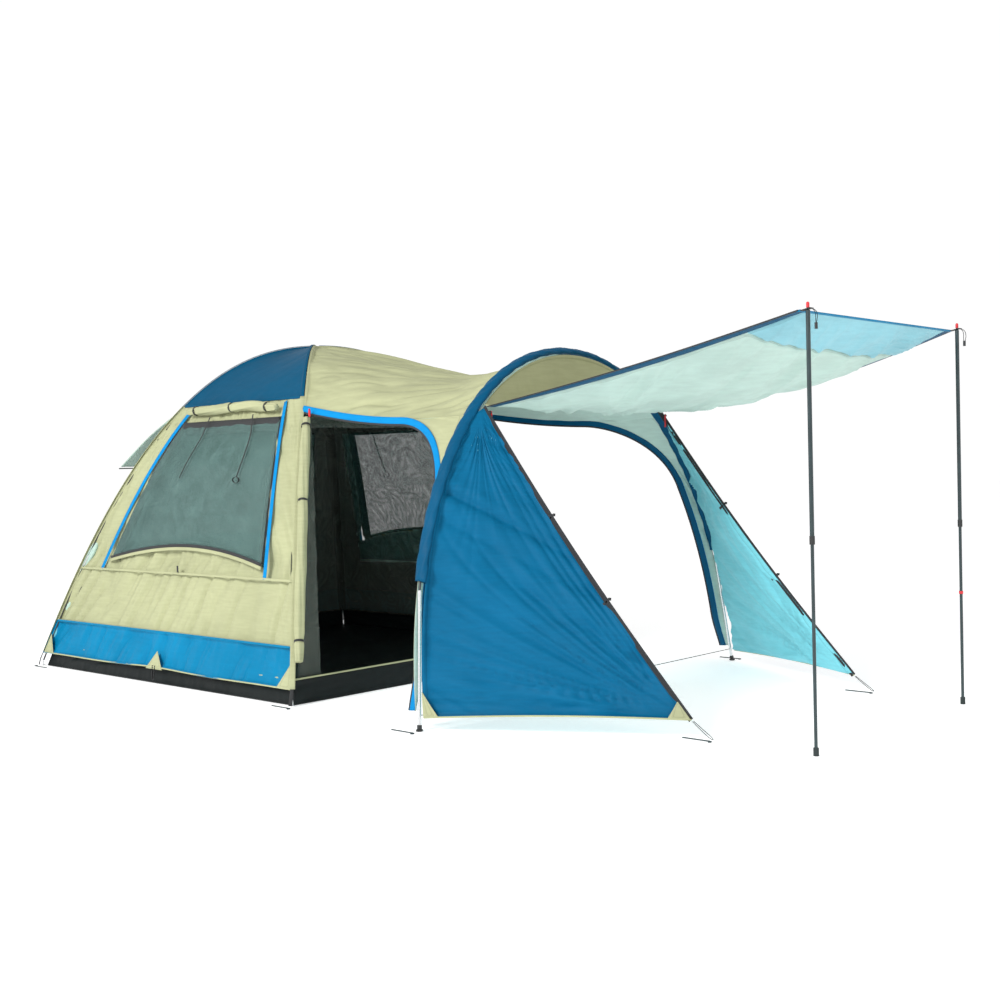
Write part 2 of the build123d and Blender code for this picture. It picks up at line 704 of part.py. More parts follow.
collar = collar + tube(Vector(prop.X, prop.Y, PROP_SPLIT - 12), Vector(prop.X, prop.Y, PROP_SPLIT - 0.1),
                       COLLAR_R, PROP_INNER_R + 0.4)
FOOT_HEIGHT = 34.0
lower = tube(Vector(prop.X, prop.Y, FOOT_HEIGHT - 22), Vector(prop.X, prop.Y, PROP_SPLIT + PROP_OVERLAP),
             PROP_INNER_R, PROP_INNER_R - PROP_WALL)
foot_pad = rod(Vector(prop.X, prop.Y, 0), Vector(prop.X, prop.Y, FOOT_HEIGHT), 12)
foot_pad = foot_pad - rod(Vector(prop.X, prop.Y, FOOT_HEIGHT - 22), Vector(prop.X, prop.Y, FOOT_HEIGHT + 1),
                          PROP_INNER_R + 0.02)

for name, solid in (("corner_tab", tab), ("pole_spike", spike), ("pole_cap", cap),
                    ("pole_upper_tube", upper), ("pole_collar", collar),
                    ("pole_lower_tube", lower), ("pole_foot", foot_pad)):
    pieces = solid if isinstance(solid, list) else [solid]
    save(f"{name}_left", pieces)
    save(f"{name}_right", [mirrored(p) for p in pieces])

# ---- corner pins, straps, pegs and cords --------------------------------------------------
pole_foot = dome_pole_line(-corner_x, 1, 0)


def corner_pin(sx, sy):
    """Ring and pin that hold the end of a dome pole."""
    x, y = sx * abs(pole_foot.X), sy * abs(pole_foot.X)
    pin = rod(Vector(x, y, 9), Vector(x, y, pole_foot.Z - 3), 3)
    washer = rod(Vector(x, y, 6), Vector(x, y, 9), 11)
    return pin + washer


save("corner_pins", [corner_pin(sx, sy) for sx in (-1, 1) for sy in (-1, 1)])


def peg(x, y, heading, length=150.0):
    """A steel wire peg with a hooked head, laid on the ground."""
    ahead = Vector(cos(heading), sin(heading), 0)
    side = Vector(-sin(heading), cos(heading), 0)
    start = Vector(x, y, 3.1)
    shank = rod(start, start + ahead * length, 3)
    hook = arc_rod(ThreePointArc(start, start - ahead * 9 + side * 9, start + side * 18), 3)
    return shank + hook


peg_places = []
for sx in (-1, 1):
    peg_places.append((sx * 1350, 1335, -pi / 2))
    peg_places.append((sx * 1350, -1335, pi / 2))
    peg_places.append((sx * (HOOP_HALF + 60), HOOP_Y - 20, pi / 2))
    peg_places.append((sx * HINGE_X, PEG_Y, pi / 2))
save("pegs", [peg(*place) for place in peg_places])


def cord(points, radius):
    """A cord along straight runs joined by arcs as large as the runs allow."""
    radii = []
    for a, b, c in zip(points, points[1:], points[2:]):
        turn = radians((b - a).get_angle(c - b))
        shorter = min((b - a).length, (c - b).length)
        radii.append(0.45 * shorter * cos(turn / 2) / sin(turn / 2))
    path = FilletPolyline(*points, radius=radii)
    solid = sweep(Plane(origin=path @ 0, z_dir=path % 0) * Circle(radius), path=path)
    filled = solid.volume / (pi * radius ** 2 * path.length)
    print("cord length", round(path.length), "radii", [round(r) for r in radii], "fill", round(filled, 3))
    return solid


# Base cord from one hoop foot to the other, pulled nearly straight.
BASE_CORD_R = 2.0
BASE_CORD_Z = 72.0
base_start = foot + leg_dir * (BASE_CORD_Z / leg_dir.Z) + Vector(LEG_R + 1.5, 0, 0)
base_run = [Vector(-base_start.X * 2 * (k - 3) / -6, base_start.Y, BASE_CORD_Z - 3 * (9 - (k - 3) ** 2) ** 0.8 / 3)
            for k in range(7)]
save("hoop_base_cord", cord(base_run, BASE_CORD_R))

# Doubled cord from the tip of each wing, round the head of its peg.
LOOP_R = 1.6
tip = Vector(-HINGE_X, WING_TIP[0] - 8, WING_TIP[1] - 6)
turn_at = Vector(-HINGE_X, PEG_Y - 14, 12)
wing_loop = [tip + Vector(-5, 0, 0), mix(tip, turn_at, 0.5) + Vector(-9, 0, -2),
             turn_at + Vector(-10, 0, 0), turn_at + Vector(10, 0, 0),
             mix(tip, turn_at, 0.5) + Vector(9, 0, -2), tip + Vector(5, 0, 0)]
wing_loop = cord(wing_loop, LOOP_R)
save("wing_peg_cords", [wing_loop, mirrored(wing_loop)])

# Cord loop with a toggle that hangs from the tab on top of each awning pole.
HANG_R = 1.5
hang_from = Vector(prop.X, prop.Y, tab_z)
hang_route = [(-7, -20, -1), (-9, -34, -7), (-11, -42, -30), (-8, -40, -56), (0, -37, -72),
              (8, -36, -54), (11, -39, -30), (9, -33, -8), (7, -20, -2)]
hang_points = [hang_from + Vector(*step) for step in hang_route]
hang = cord(hang_points, HANG_R)
toggle_at = hang_from + Vector(0, -37, -72)
toggle = rod(toggle_at + Vector(0, 0, 11), toggle_at + Vector(0, 0, -15), 6.5)
toggle = toggle - cord(hang_points, HANG_R + 0.3)
save("pole_cord_left", hang)
save("pole_cord_right", mirrored(hang))
save("pole_toggle_left", toggle)
save("pole_toggle_right", mirrored(toggle))
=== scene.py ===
import math
import bpy
import numpy as np
from numpy import linspace
from mathutils import Matrix, Vector


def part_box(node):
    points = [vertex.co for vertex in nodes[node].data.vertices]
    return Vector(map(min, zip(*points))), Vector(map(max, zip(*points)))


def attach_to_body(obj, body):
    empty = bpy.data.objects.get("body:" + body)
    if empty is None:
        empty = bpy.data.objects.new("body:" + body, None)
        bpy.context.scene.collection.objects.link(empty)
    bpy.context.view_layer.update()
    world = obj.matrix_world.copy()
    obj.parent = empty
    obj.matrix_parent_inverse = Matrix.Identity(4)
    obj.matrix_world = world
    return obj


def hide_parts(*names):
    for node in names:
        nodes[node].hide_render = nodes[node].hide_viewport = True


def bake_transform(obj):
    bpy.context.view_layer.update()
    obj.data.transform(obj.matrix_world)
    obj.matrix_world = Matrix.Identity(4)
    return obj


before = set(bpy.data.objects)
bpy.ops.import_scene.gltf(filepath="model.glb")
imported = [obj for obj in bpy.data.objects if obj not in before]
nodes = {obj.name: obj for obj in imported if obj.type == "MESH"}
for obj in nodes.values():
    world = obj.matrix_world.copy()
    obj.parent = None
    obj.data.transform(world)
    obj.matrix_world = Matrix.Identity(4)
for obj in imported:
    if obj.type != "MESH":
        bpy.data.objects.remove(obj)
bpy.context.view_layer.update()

# ---- sizes in metres, the same surfaces as the solids follow
FLY_HALF = 1.330
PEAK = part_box("dome_pole_a")[1].z + 0.0155
POLE_BEND = 0.45
HEM_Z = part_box("mud_flaps")[0].z
BAND_Z = 0.302
SEAM_Z = 0.645
SILL_Z = 0.715
SILL_RISE = 0.090
LINTEL_Z = 1.575
ROOF_Z = 1.690
WINDOW_SHARE = 0.72
SEAM_GAP = 0.004
INNER_GAP = 0.075
INNER_SHARE = 0.975
INNER_SILL = 0.560
INNER_TOP = 1.600
INNER_HEAD = LINTEL_Z - 0.060
TUB_HEIGHT = 0.130
FLOOR_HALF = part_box("tub_floor")[1].x
DOOR_JAMB_SHARE = 0.80

HOOP_Y = -2.320
HOOP_HALF = 1.355
HOOP_HEIGHT = 1.880
HOOP_LEAN = math.radians(5.0)
HOOP_ROUND = 2.05
SLEEVE_BOTTOM = 0.700
WING_HEM_Z = 0.066

HINGE = Vector((0.760, -2.235, 1.550))
WING_TIP_Y, WING_TIP_Z = -3.462, 0.088
AWNING_LENGTH = 1.828
AWNING_TILT = math.radians(10.0)
AWNING_HALF = 0.750
AWNING_SAG = 0.060
POLE_X, POLE_Y = 0.733, -4.0687
BAND_LENGTH = 0.300
TRIM_WIDTH = 0.060
DOOR_TOP_SHARE = 0.50
DOOR_TOP_Z = 1.500
ROOF_SAG, ROOF_DIP = 0.040, 0.120
ROLL_R = 0.034
ROLL_STEPS = 150
WINDOW_ROLL_Z = 1.640
DOOR_ROLL_FOOT, DOOR_ROLL_HEAD = 0.235, 1.555
HOOD_OUT, HOOD_HALF, HOOD_Z = 1.290, 0.690, 1.305
CLOTH_THICK = 0.0014
MESH_THICK = 0.0004
TURNS = {"left": (-1, 0), "right": (1, 0), "rear": (0, 1), "front": (0, -1)}
FLY_SIDES = ("left", "right", "rear")
ENDS = (("left", -1), ("right", 1))
CORNERS = ((-1, -1), (1, -1), (-1, 1), (1, 1))


# ---- surfaces
def half_side(z):
    return FLY_HALF * np.maximum(1e-6, 1 - np.asarray(z) / PEAK) ** POLE_BEND


def height_at(half):
    return PEAK * (1 - (np.abs(half) / FLY_HALF) ** (1 / POLE_BEND))


def pack3(x, y, z):
    return np.stack(np.broadcast_arrays(x, y, z), -1).astype(float)


def turned(side, half, wide, z):
    """A point `half` out from the middle on one side of the tent and `wide` along that side."""
    nx, ny = TURNS[side]
    return pack3(nx * half - ny * wide, ny * half + nx * wide, z)


def wall(side, share, z, out=0.0):
    """A point on a dome wall, share -1 to 1 across it."""
    half = half_side(z)
    return turned(side, half + out, (half - SEAM_GAP) * share, z)


def hoop(angle, grow=0.0, along=0.0):
    """A point on the hoop: angle 0 is the -X foot and pi/2 the top."""
    across = np.cos(angle)
    up = np.abs(np.sin(angle)) ** (2 / HOOP_ROUND) * (HOOP_HEIGHT + grow)
    side = np.abs(across) ** (2 / HOOP_ROUND) * (HOOP_HALF + grow)
    return pack3(-np.sign(across) * side, HOOP_Y + up * math.sin(HOOP_LEAN) + along,
                 up * math.cos(HOOP_LEAN))


def hoop_angle(z):
    return np.arcsin((np.asarray(z) / math.cos(HOOP_LEAN) / HOOP_HEIGHT) ** (HOOP_ROUND / 2))


def mix(a, b, t):
    return a + (b - a) * t


def smooth(x, low, high):
    t = np.clip((x - low) / (high - low), 0, 1)
    return t * t * (3 - 2 * t)


# ---- creases
def value_noise(x, y, seed):
    """Smooth noise between 0 and 1, the same on every run."""
    xi, yi = np.floor(x), np.floor(y)
    fx, fy = x - xi, y - yi
    fx, fy = fx * fx * (3 - 2 * fx), fy * fy * (3 - 2 * fy)

    def corner(a, b):
        s = np.sin(a * 127.1 + b * 311.7 + seed * 74.7) * 43758.5453
        return s - np.floor(s)

    top = mix(corner(xi, yi), corner(xi + 1, yi), fx)
    low = mix(corner(xi, yi + 1), corner(xi + 1, yi + 1), fx)
    return mix(top, low, fy)


def ridge(n):
    """A rounded ridge where the noise passes one half."""
    return 1.07 - np.sqrt((2 * n - 1) ** 2 + 0.005)


def folds(x, y, seed, angle, width, length):
    """Long pulled creases: sharp ridges across `width`, drawn out over `length`."""
    c, s = math.cos(angle), math.sin(angle)
    along, across = (x * c + y * s) / length, (-x * s + y * c) / width
    bend = 0.6 * value_noise(along * 0.7, across * 0.3, seed + 9)
    n = value_noise(along, across + bend, seed)
    m = value_noise(along * 1.9, across * 2.1 + bend, seed + 3)
    return ridge(n) ** 2 + 0.35 * ridge(m) ** 2


def drape(seed, angle, width, length, depth):
    """Creases for a panel whose cloth only hangs or pulls one way."""
    return lambda x, y, u, v: -folds(x, y, seed, angle, width, length) * depth


def pucker(s, d, seed, period=0.035, reach=0.09):
    """Short creases that run in from a seam: s along it, d away from it."""
    n = value_noise(s / period, d / (reach * 2), seed)
    return ridge(n) * np.exp(-d / reach)


def around(x, y, px, py, seed, count=9, reach=0.5):
    """Creases that fan out from a pulled corner."""
    dx, dy = x - px, y - py
    r = np.hypot(dx, dy) + 1e-6
    turn = np.arctan2(dy, dx)
    n = value_noise(turn * count, r / (reach * 3), seed)
    return ridge(n) ** 2 * smooth(r, 0.03, 0.22) * np.exp(-r / reach)


# ---- mesh builders
def unit(v):
    return v / np.linalg.norm(v, axis=-1, keepdims=True)


def running_length(points):
    """The distance along a line of points, from the first one to each of them."""
    return np.concatenate([[0], np.cumsum(np.linalg.norm(np.diff(points, axis=0), axis=1))])


def evenly(points, count):
    """The same line as `count` points at equal distances."""
    at = running_length(points)
    even = linspace(0, at[-1], count)
    return np.stack([np.interp(even, at, points[:, k]) for k in range(3)], -1)


def tube_faces(rows, count):
    """The quads between `rows` rings of `count` points each."""
    return [(k * count + m, k * count + (m + 1) % count,
             (k + 1) * count + (m + 1) % count, (k + 1) * count + m)
            for k in range(rows - 1) for m in range(count)]


def add_object(name, verts, faces, materials, uv=None, seam=None):
    mesh = bpy.data.meshes.new(name)
    mesh.from_pydata([tuple(v) for v in verts], [], faces)
    for m in materials:
        mesh.materials.append(M[m])
    mesh.polygons.foreach_set("use_smooth", [True] * len(mesh.polygons))
    loop_verts = np.zeros(len(mesh.loops), int)
    mesh.loops.foreach_get("vertex_index", loop_verts)
    for label, values in (("metres", uv), ("seam", seam)):
        if values is not None:
            layer = mesh.uv_layers.new(name=label)
            layer.data.foreach_set("uv", np.asarray(values)[loop_verts].ravel())
    mesh.update()
    obj = bpy.data.objects.new(name, mesh)
    bpy.context.scene.collection.objects.link(obj)
    return obj


def thicken(obj, thick):
    skin = obj.modifiers.new("thickness", "SOLIDIFY")
    skin.thickness = thick
    skin.offset = -1
    return skin


def attach(obj, body, replaces=()):
    """Say which body a piece moves with and which solids it stands for."""
    if isinstance(body, str):
        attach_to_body(obj, body)
    else:
        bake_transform(obj)
    if replaces:
        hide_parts(*replaces)
    return obj


def arc_lengths(points, axis):
    step = np.linalg.norm(np.diff(points, axis=axis), axis=-1).mean(axis=1 - axis)
    return np.concatenate([[0], np.cumsum(step)])


def cloth(name, point, u, v, outer, inner, inside, creases=None, keep=None, replaces=(),
          thick=CLOTH_THICK, body="tent"):
    """One sewn sheet: point(u, v) is its outer surface, creases(x, y, u, v) its folds in metres,
    and keep(u, v) is false where it has an opening. `inside` is a point on its inner side."""
    U, V = np.meshgrid(u, v, indexing="ij")
    P = point(U, V)
    x, y = arc_lengths(P, 0), arc_lengths(P, 1)
    X, Y = np.meshgrid(x, y, indexing="ij")
    normal = np.cross(np.gradient(P, axis=0), np.gradient(P, axis=1))
    normal /= np.linalg.norm(normal, axis=-1, keepdims=True) + 1e-12
    out = np.sign(((P - np.array(inside)) * normal).sum(-1).mean())
    normal *= out
    edge = np.minimum(np.minimum(X, x[-1] - X), np.minimum(Y, y[-1] - Y))
    if creases is not None:
        P = P + normal * (creases(X, Y, U, V) * smooth(edge, -0.002, 0.02))[..., None]
    nu, nv = P.shape[:2]
    index = np.arange(nu * nv).reshape(nu, nv)
    faces = []
    for i in range(nu - 1):
        for j in range(nv - 1):
            if keep is None or keep((u[i] + u[i + 1]) / 2, (v[j] + v[j + 1]) / 2):
                quad = (index[i, j], index[i + 1, j], index[i + 1, j + 1], index[i, j + 1])
                faces.append([int(k) for k in (quad if out > 0 else quad[::-1])])
    near_u = np.minimum(X, x[-1] - X) < np.minimum(Y, y[-1] - Y)
    seam = np.stack([edge, np.where(near_u, Y, X)], -1).reshape(-1, 2)
    obj = add_object(name, P.reshape(-1, 3), faces, [outer, inner],
                     np.stack([X, Y], -1).reshape(-1, 2), seam)
    thicken(obj, thick).material_offset = 1
    attach(obj, body, replaces)
    return obj


def frames_along(points):
    """Unit tangents and two cross directions that don't twist along a line of points."""
    P = np.asarray(points, float)
    tangent = unit(np.gradient(P, axis=0))
    side = np.cross(tangent[0], [0.0, 0.0, 1.0])
    if np.linalg.norm(side) < 0.1:
        side = np.cross(tangent[0], [0.0, 1.0, 0.0])
    sides = []
    for t in tangent:
        side = unit(side - t * side.dot(t))
        sides.append(side)
    sides = np.array(sides)
    return P, tangent, sides, np.cross(tangent, sides)


def loft(name, points, section, material, replaces=()):
    """A closed body: section(share) gives the outline's (a, b) pairs at each part of the line."""
    P, _, A, B = frames_along(points)
    rings = []
    for k in range(len(P)):
        outline = np.asarray(section(k / (len(P) - 1)))
        rings.append(P[k] + outline[:, :1] * A[k] + outline[:, 1:] * B[k])
    count = len(rings[0])
    verts = np.concatenate(rings + [[rings[0].mean(0)], [rings[-1].mean(0)]])
    faces = tube_faces(len(P), count)
    base = len(P) * count
    for m in range(count):
        n = (m + 1) % count
        faces += [(base, n, m), (base + 1, base - count + m, base - count + n)]
    girth = np.linalg.norm(np.roll(rings[0], -1, 0) - rings[0], axis=1).sum()
    uv = [(m / count * girth, s) for s in running_length(P) for m in range(count)]
    obj = add_object(name, verts, faces, [material], uv=uv + [(0, 0), (0, 0)])
    return attach(obj, "tent", replaces)


def circle(radius, count=10):
    turns = np.arange(count) * 2 * math.pi / count
    return np.stack([radius * np.cos(turns), radius * np.sin(turns)], -1)


def piping(name, points, radius):
    return loft(name, points, lambda share: circle(radius, 8), "piping")


STRAP_OUTLINE = [(-.5, -.5), (-.25, -.62), (.25, -.62), (.5, -.5),
                 (.5, .5), (.25, .62), (-.25, .62), (-.5, .5)]


def strap(name, points, wide, thick, material, across, body="tent"):
    """A flat band along a line of points, its width along the direction `across`."""
    P = np.asarray(points, float)
    tangent = unit(np.gradient(P, axis=0))
    side = np.broadcast_to(np.asarray(across, float), P.shape).copy()
    side = unit(side - tangent * (side * tangent).sum(1, keepdims=True))
    up = np.cross(tangent, side)
    rings = [P + side * a * wide + up * b * thick for a, b in STRAP_OUTLINE]
    count = len(STRAP_OUTLINE)
    faces = tube_faces(len(P), count)
    faces.append(tuple(range(count))[::-1])
    faces.append(tuple(range((len(P) - 1) * count, len(P) * count)))
    uv = [(a * wide, s) for s in running_length(P) for a, b in STRAP_OUTLINE]
    obj = add_object(name, np.stack(rings, 1).reshape(-1, 3), faces, [material], uv=uv)
    return attach(obj, body)


# ---- materials
WEAVE_PITCH = 0.0011
MESH_PITCH = 0.0016
STITCH_PITCH = 0.0035


class Nodes:
    """A short way to write a node material."""

    def __init__(self, name):
        self.material = bpy.data.materials.new(name)
        self.material.use_nodes = True
        self.tree = self.material.node_tree
        self.shader = self.tree.nodes["Principled BSDF"]
        self.place = self.add("ShaderNodeTexCoord").outputs["Object"]

    def add(self, kind, inputs=(), **settings):
        node = self.tree.nodes.new(kind)
        for key, value in settings.items():
            setattr(node, key, value)
        for key, value in dict(inputs).items():
            if hasattr(value, "is_output"):
                self.tree.links.new(value, node.inputs[key])
            else:
                node.inputs[key].default_value = value
        return node

    def math(self, operation, a, b=0.0, clamp=False):
        return self.add("ShaderNodeMath", {0: a, 1: b}, operation=operation, use_clamp=clamp).outputs[0]

    def times(self, a, b):
        return self.math("MULTIPLY", a, b)

    def plus(self, a, b):
        return self.math("ADD", a, b)

    def less(self, a, b):
        return self.math("SUBTRACT", a, b)

    def wave(self, value, pitch):
        return self.math("SINE", self.times(value, 2 * math.pi / pitch))

    def layer(self, label):
        """The two coordinates of a UV layer."""
        uv = self.add("ShaderNodeUVMap", uv_map=label).outputs[0]
        return self.add("ShaderNodeSeparateXYZ", {0: uv}).outputs[:2]

    def noise(self, scale, detail, stretch=None, rough=0.5):
        place = self.place
        if stretch:
            place = self.add("ShaderNodeMapping", {"Vector": place, "Scale": stretch}).outputs[0]
        inputs = {"Vector": place, "Scale": scale, "Detail": detail, "Roughness": rough}
        return self.add("ShaderNodeTexNoise", inputs).outputs[0]

    def band(self, value, low, high):
        return self.add("ShaderNodeMapRange", {0: value, 1: low, 2: high, 3: 0.0, 4: 1.0},
                        interpolation_type="SMOOTHSTEP").outputs[0]

    def blend(self, factor, a, b, kind="MIX"):
        return self.add("ShaderNodeMix", {0: factor, 6: a, 7: b}, data_type="RGBA",
                        blend_type=kind).outputs[2]

    def tint(self, factor, colour, dark, light):
        """The colour, varied between `dark` and `light` times itself."""
        return self.blend(factor, (*scaled(colour, dark), 1), (*scaled(colour, light), 1))

    def link(self, output, socket):
        self.tree.links.new(output, self.shader.inputs[socket])

    def bump(self, height, strength):
        self.link(self.add("ShaderNodeBump", {"Height": height, "Strength": strength,
                                              "Distance": 1.0}).outputs[0], "Normal")

    def set(self, **values):
        for key, value in values.items():
            self.shader.inputs[key.replace("_", " ")].default_value = value
        return self.material


def scaled(colour, k):
    return tuple(min(1.0, c * k) for c in colour)


def weave_cloth(name, colour, rough=0.62, stitched=True):
    """Woven coated polyester: fine weave, faint streaks, and a felled seam with stitches, with painted shade
    along the seam.
    """
    n = Nodes(name)
    cloudy = n.noise(2.2, 3.0)
    streaks = n.noise(3.0, 4.0, (3.0, 3.0, 26.0))
    both = n.plus(n.times(cloudy, 0.6), n.times(streaks, 0.4))
    base = n.tint(n.band(both, 0.3, 0.7), colour, 0.90, 1.08)
    u, v = n.layer("metres")
    height = n.times(n.times(n.wave(u, WEAVE_PITCH), n.wave(v, WEAVE_PITCH)), 0.00006)
    height = n.plus(height, n.times(n.noise(38.0, 4.0, rough=0.6), 0.0007))
    if stitched:
        edge, run = n.layer("seam")
        lap = n.less(1.0, n.band(edge, 0.0105, 0.0125))
        dash = n.band(n.wave(run, STITCH_PITCH), -0.3, 0.3)
        near = n.math("ABSOLUTE", n.less(edge, 0.0085))
        thread = n.times(n.math("LESS_THAN", near, 0.0006), dash)
        height = n.less(n.plus(height, n.times(lap, 0.0007)), n.times(thread, 0.0005))
        # Painted shade: a dark line at the edge of the felled lap stands in for its shadow, and the stitch
        # dashes are darkened too.
        line = n.less(1.0, n.band(n.math("ABSOLUTE", n.less(edge, 0.0120)), 0.0, 0.0022))
        shade = n.times(n.math("MAXIMUM", line, thread), 0.45)
        base = n.blend(shade, base, (0.45, 0.45, 0.45, 1), "MULTIPLY")
    n.link(base, "Base Color")
    n.bump(height, 0.75)
    n.link(n.plus(rough - 0.06, n.times(cloudy, 0.14)), "Roughness")
    return n.set(Specular_IOR_Level=0.10)


def insect_mesh(name, colour, cover, swirl):
    """Fine insect mesh: square holes, and the swirling bands that two layers of it make together."""
    n = Nodes(name)
    u, v = n.layer("metres")
    threads = n.math("MAXIMUM", n.wave(u, MESH_PITCH), n.wave(v, MESH_PITCH))
    rings = n.math("SINE", n.times(n.noise(3.2, 1.5), 110.0))
    veil = n.noise(9.0, 4.0)
    alpha = n.plus(cover, n.times(threads, 0.10))
    alpha = n.plus(alpha, n.times(rings, swirl * 0.5))
    alpha = n.math("ADD", alpha, n.times(n.less(veil, 0.5), swirl), clamp=True)
    n.link(n.tint(veil, colour, 0.75, 1.3), "Base Color")
    n.link(alpha, "Alpha")
    n.bump(n.times(threads, 0.0002), 0.5)
    return n.set(Roughness=0.6, Specular_IOR_Level=0.3)


def moulded(name, colour, rough=0.45, grain=220.0, depth=0.0001, coat=0.0):
    """Moulded plastic, rubber or coated metal with a fine grain and lightly rubbed patches."""
    n = Nodes(name)
    patches = n.noise(14.0, 5.0)
    n.link(n.tint(n.band(patches, 0.35, 0.7), colour, 0.82, 1.18), "Base Color")
    n.link(n.plus(rough - 0.1, n.times(patches, 0.2)), "Roughness")
    n.bump(n.times(n.noise(grain, 3.0), depth), 0.6)
    return n.set(Coat_Weight=coat, Coat_Roughness=0.2)


def drawn_metal(name, colour, rough=0.28):
    """Drawn metal tube with fine lines along its length."""
    n = Nodes(name)
    lines = n.noise(3.0, 3.0, (300.0, 300.0, 6.0))
    n.link(n.tint(lines, colour, 0.86, 1.1), "Base Color")
    n.link(n.plus(rough - 0.08, n.times(lines, 0.2)), "Roughness")
    n.bump(n.times(lines, 0.00005), 0.5)
    return n.set(Metallic=1.0)


def ribbed(name, colour, pitch=0.0022):
    """Woven webbing or zip tape: ribs across its length, with painted shade in the grooves between them."""
    n = Nodes(name)
    ribs = n.wave(n.layer("metres")[1], pitch)
    # Painted shade and highlight: the colour follows the rib wave, darker in the grooves and lighter on the
    # crests.
    n.link(n.tint(n.times(n.plus(ribs, 1.0), 0.5), colour, 0.7, 1.25), "Base Color")
    n.bump(n.plus(n.times(ribs, 0.00025), n.times(n.noise(160.0, 3.0), 0.0003)), 0.7)
    return n.set(Roughness=0.7, Sheen_Weight=0.1)


# Painted backlight: the inner-face colours cream_in, blue_in and band_in are far lighter than the outer ones,
# standing in for daylight shining through the thin cloth.
M = {key: weave_cloth(name, colour, rough) for key, name, rough, colour in (
    ("cream", "cream cloth", 0.62, (0.400, 0.415, 0.245)),
    ("cream_in", "cream cloth coated side", 0.5, (0.500, 0.665, 0.600)),
    ("blue", "blue cloth", 0.55, (0.0005, 0.112, 0.235)),
    ("roof", "roof cloth", 0.55, (0.0005, 0.072, 0.150)),
    ("flap", "mud flap cloth", 0.5, (0.0005, 0.190, 0.370)),
    ("bright", "bright trim cloth", 0.62, (0.0005, 0.225, 0.540)),
    ("blue_in", "blue cloth coated side", 0.45, (0.200, 0.600, 0.690)),
    ("band_in", "front band coated side", 0.45, (0.270, 0.560, 0.640)),
    ("sleeve", "sleeve cloth", 0.5, (0.0005, 0.075, 0.165)),
    ("tub", "groundsheet cloth", 0.42, (0.012, 0.015, 0.015)))}
M.update({
    "inner": insect_mesh("inner tent cloth", (0.110, 0.124, 0.106), 0.56, 0.05),
    "mesh": insect_mesh("insect mesh", (0.120, 0.215, 0.200), 0.36, 0.12),
    "inner_mesh": insect_mesh("inner tent mesh", (0.055, 0.150, 0.132), 0.40, 0.10),
    "piping": weave_cloth("cream piping", (0.440, 0.4565, 0.2695), stitched=False),
    "zip": ribbed("zip tape", (0.012, 0.013, 0.015)),
    "webbing": ribbed("black webbing", (0.014, 0.015, 0.016), pitch=0.003),
    "red": ribbed("red webbing", (0.62, 0.02, 0.045), pitch=0.0015),
    "plastic": moulded("black plastic", (0.018, 0.019, 0.020)),
    "rubber": moulded("grey rubber", (0.020, 0.030, 0.030), rough=0.75, grain=400.0, depth=0.0003),
    "red_plastic": moulded("red plastic", (0.60, 0.02, 0.03), rough=0.4),
    "steel": drawn_metal("bright steel", (0.62, 0.63, 0.65)),
    "silver": drawn_metal("silver tube", (0.78, 0.79, 0.80), rough=0.24),
    "dark_steel": moulded("powder coated steel", (0.012, 0.030, 0.034), 0.33, grain=900.0, depth=0.00006,
                          coat=0.3),
    "fibre": moulded("glass fibre", (0.03, 0.03, 0.032), rough=0.35, grain=500.0),
    "cord": moulded("braided cord", (0.020, 0.021, 0.023), rough=0.8, grain=700.0, depth=0.0006),
    "tab": moulded("webbing tab", (0.016, 0.017, 0.018), rough=0.75, grain=500.0, depth=0.0005),
})

# Better finishes for the solids that stay as they are.
FINISH = {"ferrule_steel": "steel", "webbing": "tab", "glass_fibre": "fibre", "cord": "cord",
          "black_plastic": "plastic", "silver_tube": "silver", "red_webbing": "red_plastic",
          "rubber": "rubber", "dark_steel": "dark_steel", "zip": "plastic"}
for label, node in nodes.items():
    for place in node.material_slots:
        kind = FINISH.get(place.material.name.split(".")[0])
        if kind:
            place.material = M["dark_steel" if label == "pegs" else kind]

# ---- camera
CAMERA_AT = Vector((-5.713, -6.872, 1.253))
YAW, PITCH, ROLL = math.radians(47.3), math.radians(-1.46), math.radians(-1.42)


lens = bpy.data.cameras.new("camera")
lens.sensor_width = 36.0
lens.lens = 47.95
lens.shift_x = 0.004
lens.shift_y = -0.001
camera = bpy.data.objects.new("camera", lens)
bpy.context.scene.collection.objects.link(camera)
camera.matrix_world = (Matrix.Translation(CAMERA_AT) @ Matrix.Rotation(-YAW, 4, "Z")
                       @ Matrix.Rotation(math.pi / 2 + PITCH, 4, "X") @ Matrix.Rotation(ROLL, 4, "Z"))
bpy.context.scene.camera = camera


# ---- cords
def cord_curve(name, body, points, diameter, node, mirror=1):
    curve = bpy.data.curves.new(name, "CURVE")
    curve.dimensions = "3D"
    spline = curve.splines.new("NURBS")
    spline.points.add(len(points) - 1)
    for slot, p in zip(spline.points, points):
        slot.co = (p[0] * mirror, p[1], p[2], 1)
    spline.order_u = 3
    spline.use_endpoint_u = True
    curve.resolution_u = 8
    curve.bevel_depth = diameter / 2
    curve.bevel_resolution = 3
    curve.materials.append(M["cord"])
    obj = bpy.data.objects.new(name, curve)
    bpy.context.scene.collection.objects.link(obj)
    return attach(obj, body, [node])


lean = math.sin(HOOP_LEAN)
LEG_TOP_Z = 0.660
leg_up = 0.072
leg_foot = Vector((-HOOP_HALF, HOOP_Y, 0.0))
leg_end = Vector(hoop(hoop_angle(LEG_TOP_Z))[()])
leg_dir = (leg_end - leg_foot).normalized()
base_start = leg_foot + leg_dir * (leg_up / leg_dir.z) + Vector((0.011, 0, 0))
base_run = [(-base_start.x * (k - 3) / 3, base_start.y, leg_up - 0.001 * (9 - (k - 3) ** 2) ** 0.8 / 3)
            for k in range(7)]
base_cord = cord_curve("base_cord", "tent", base_run, 0.004, "hoop_base_cord")

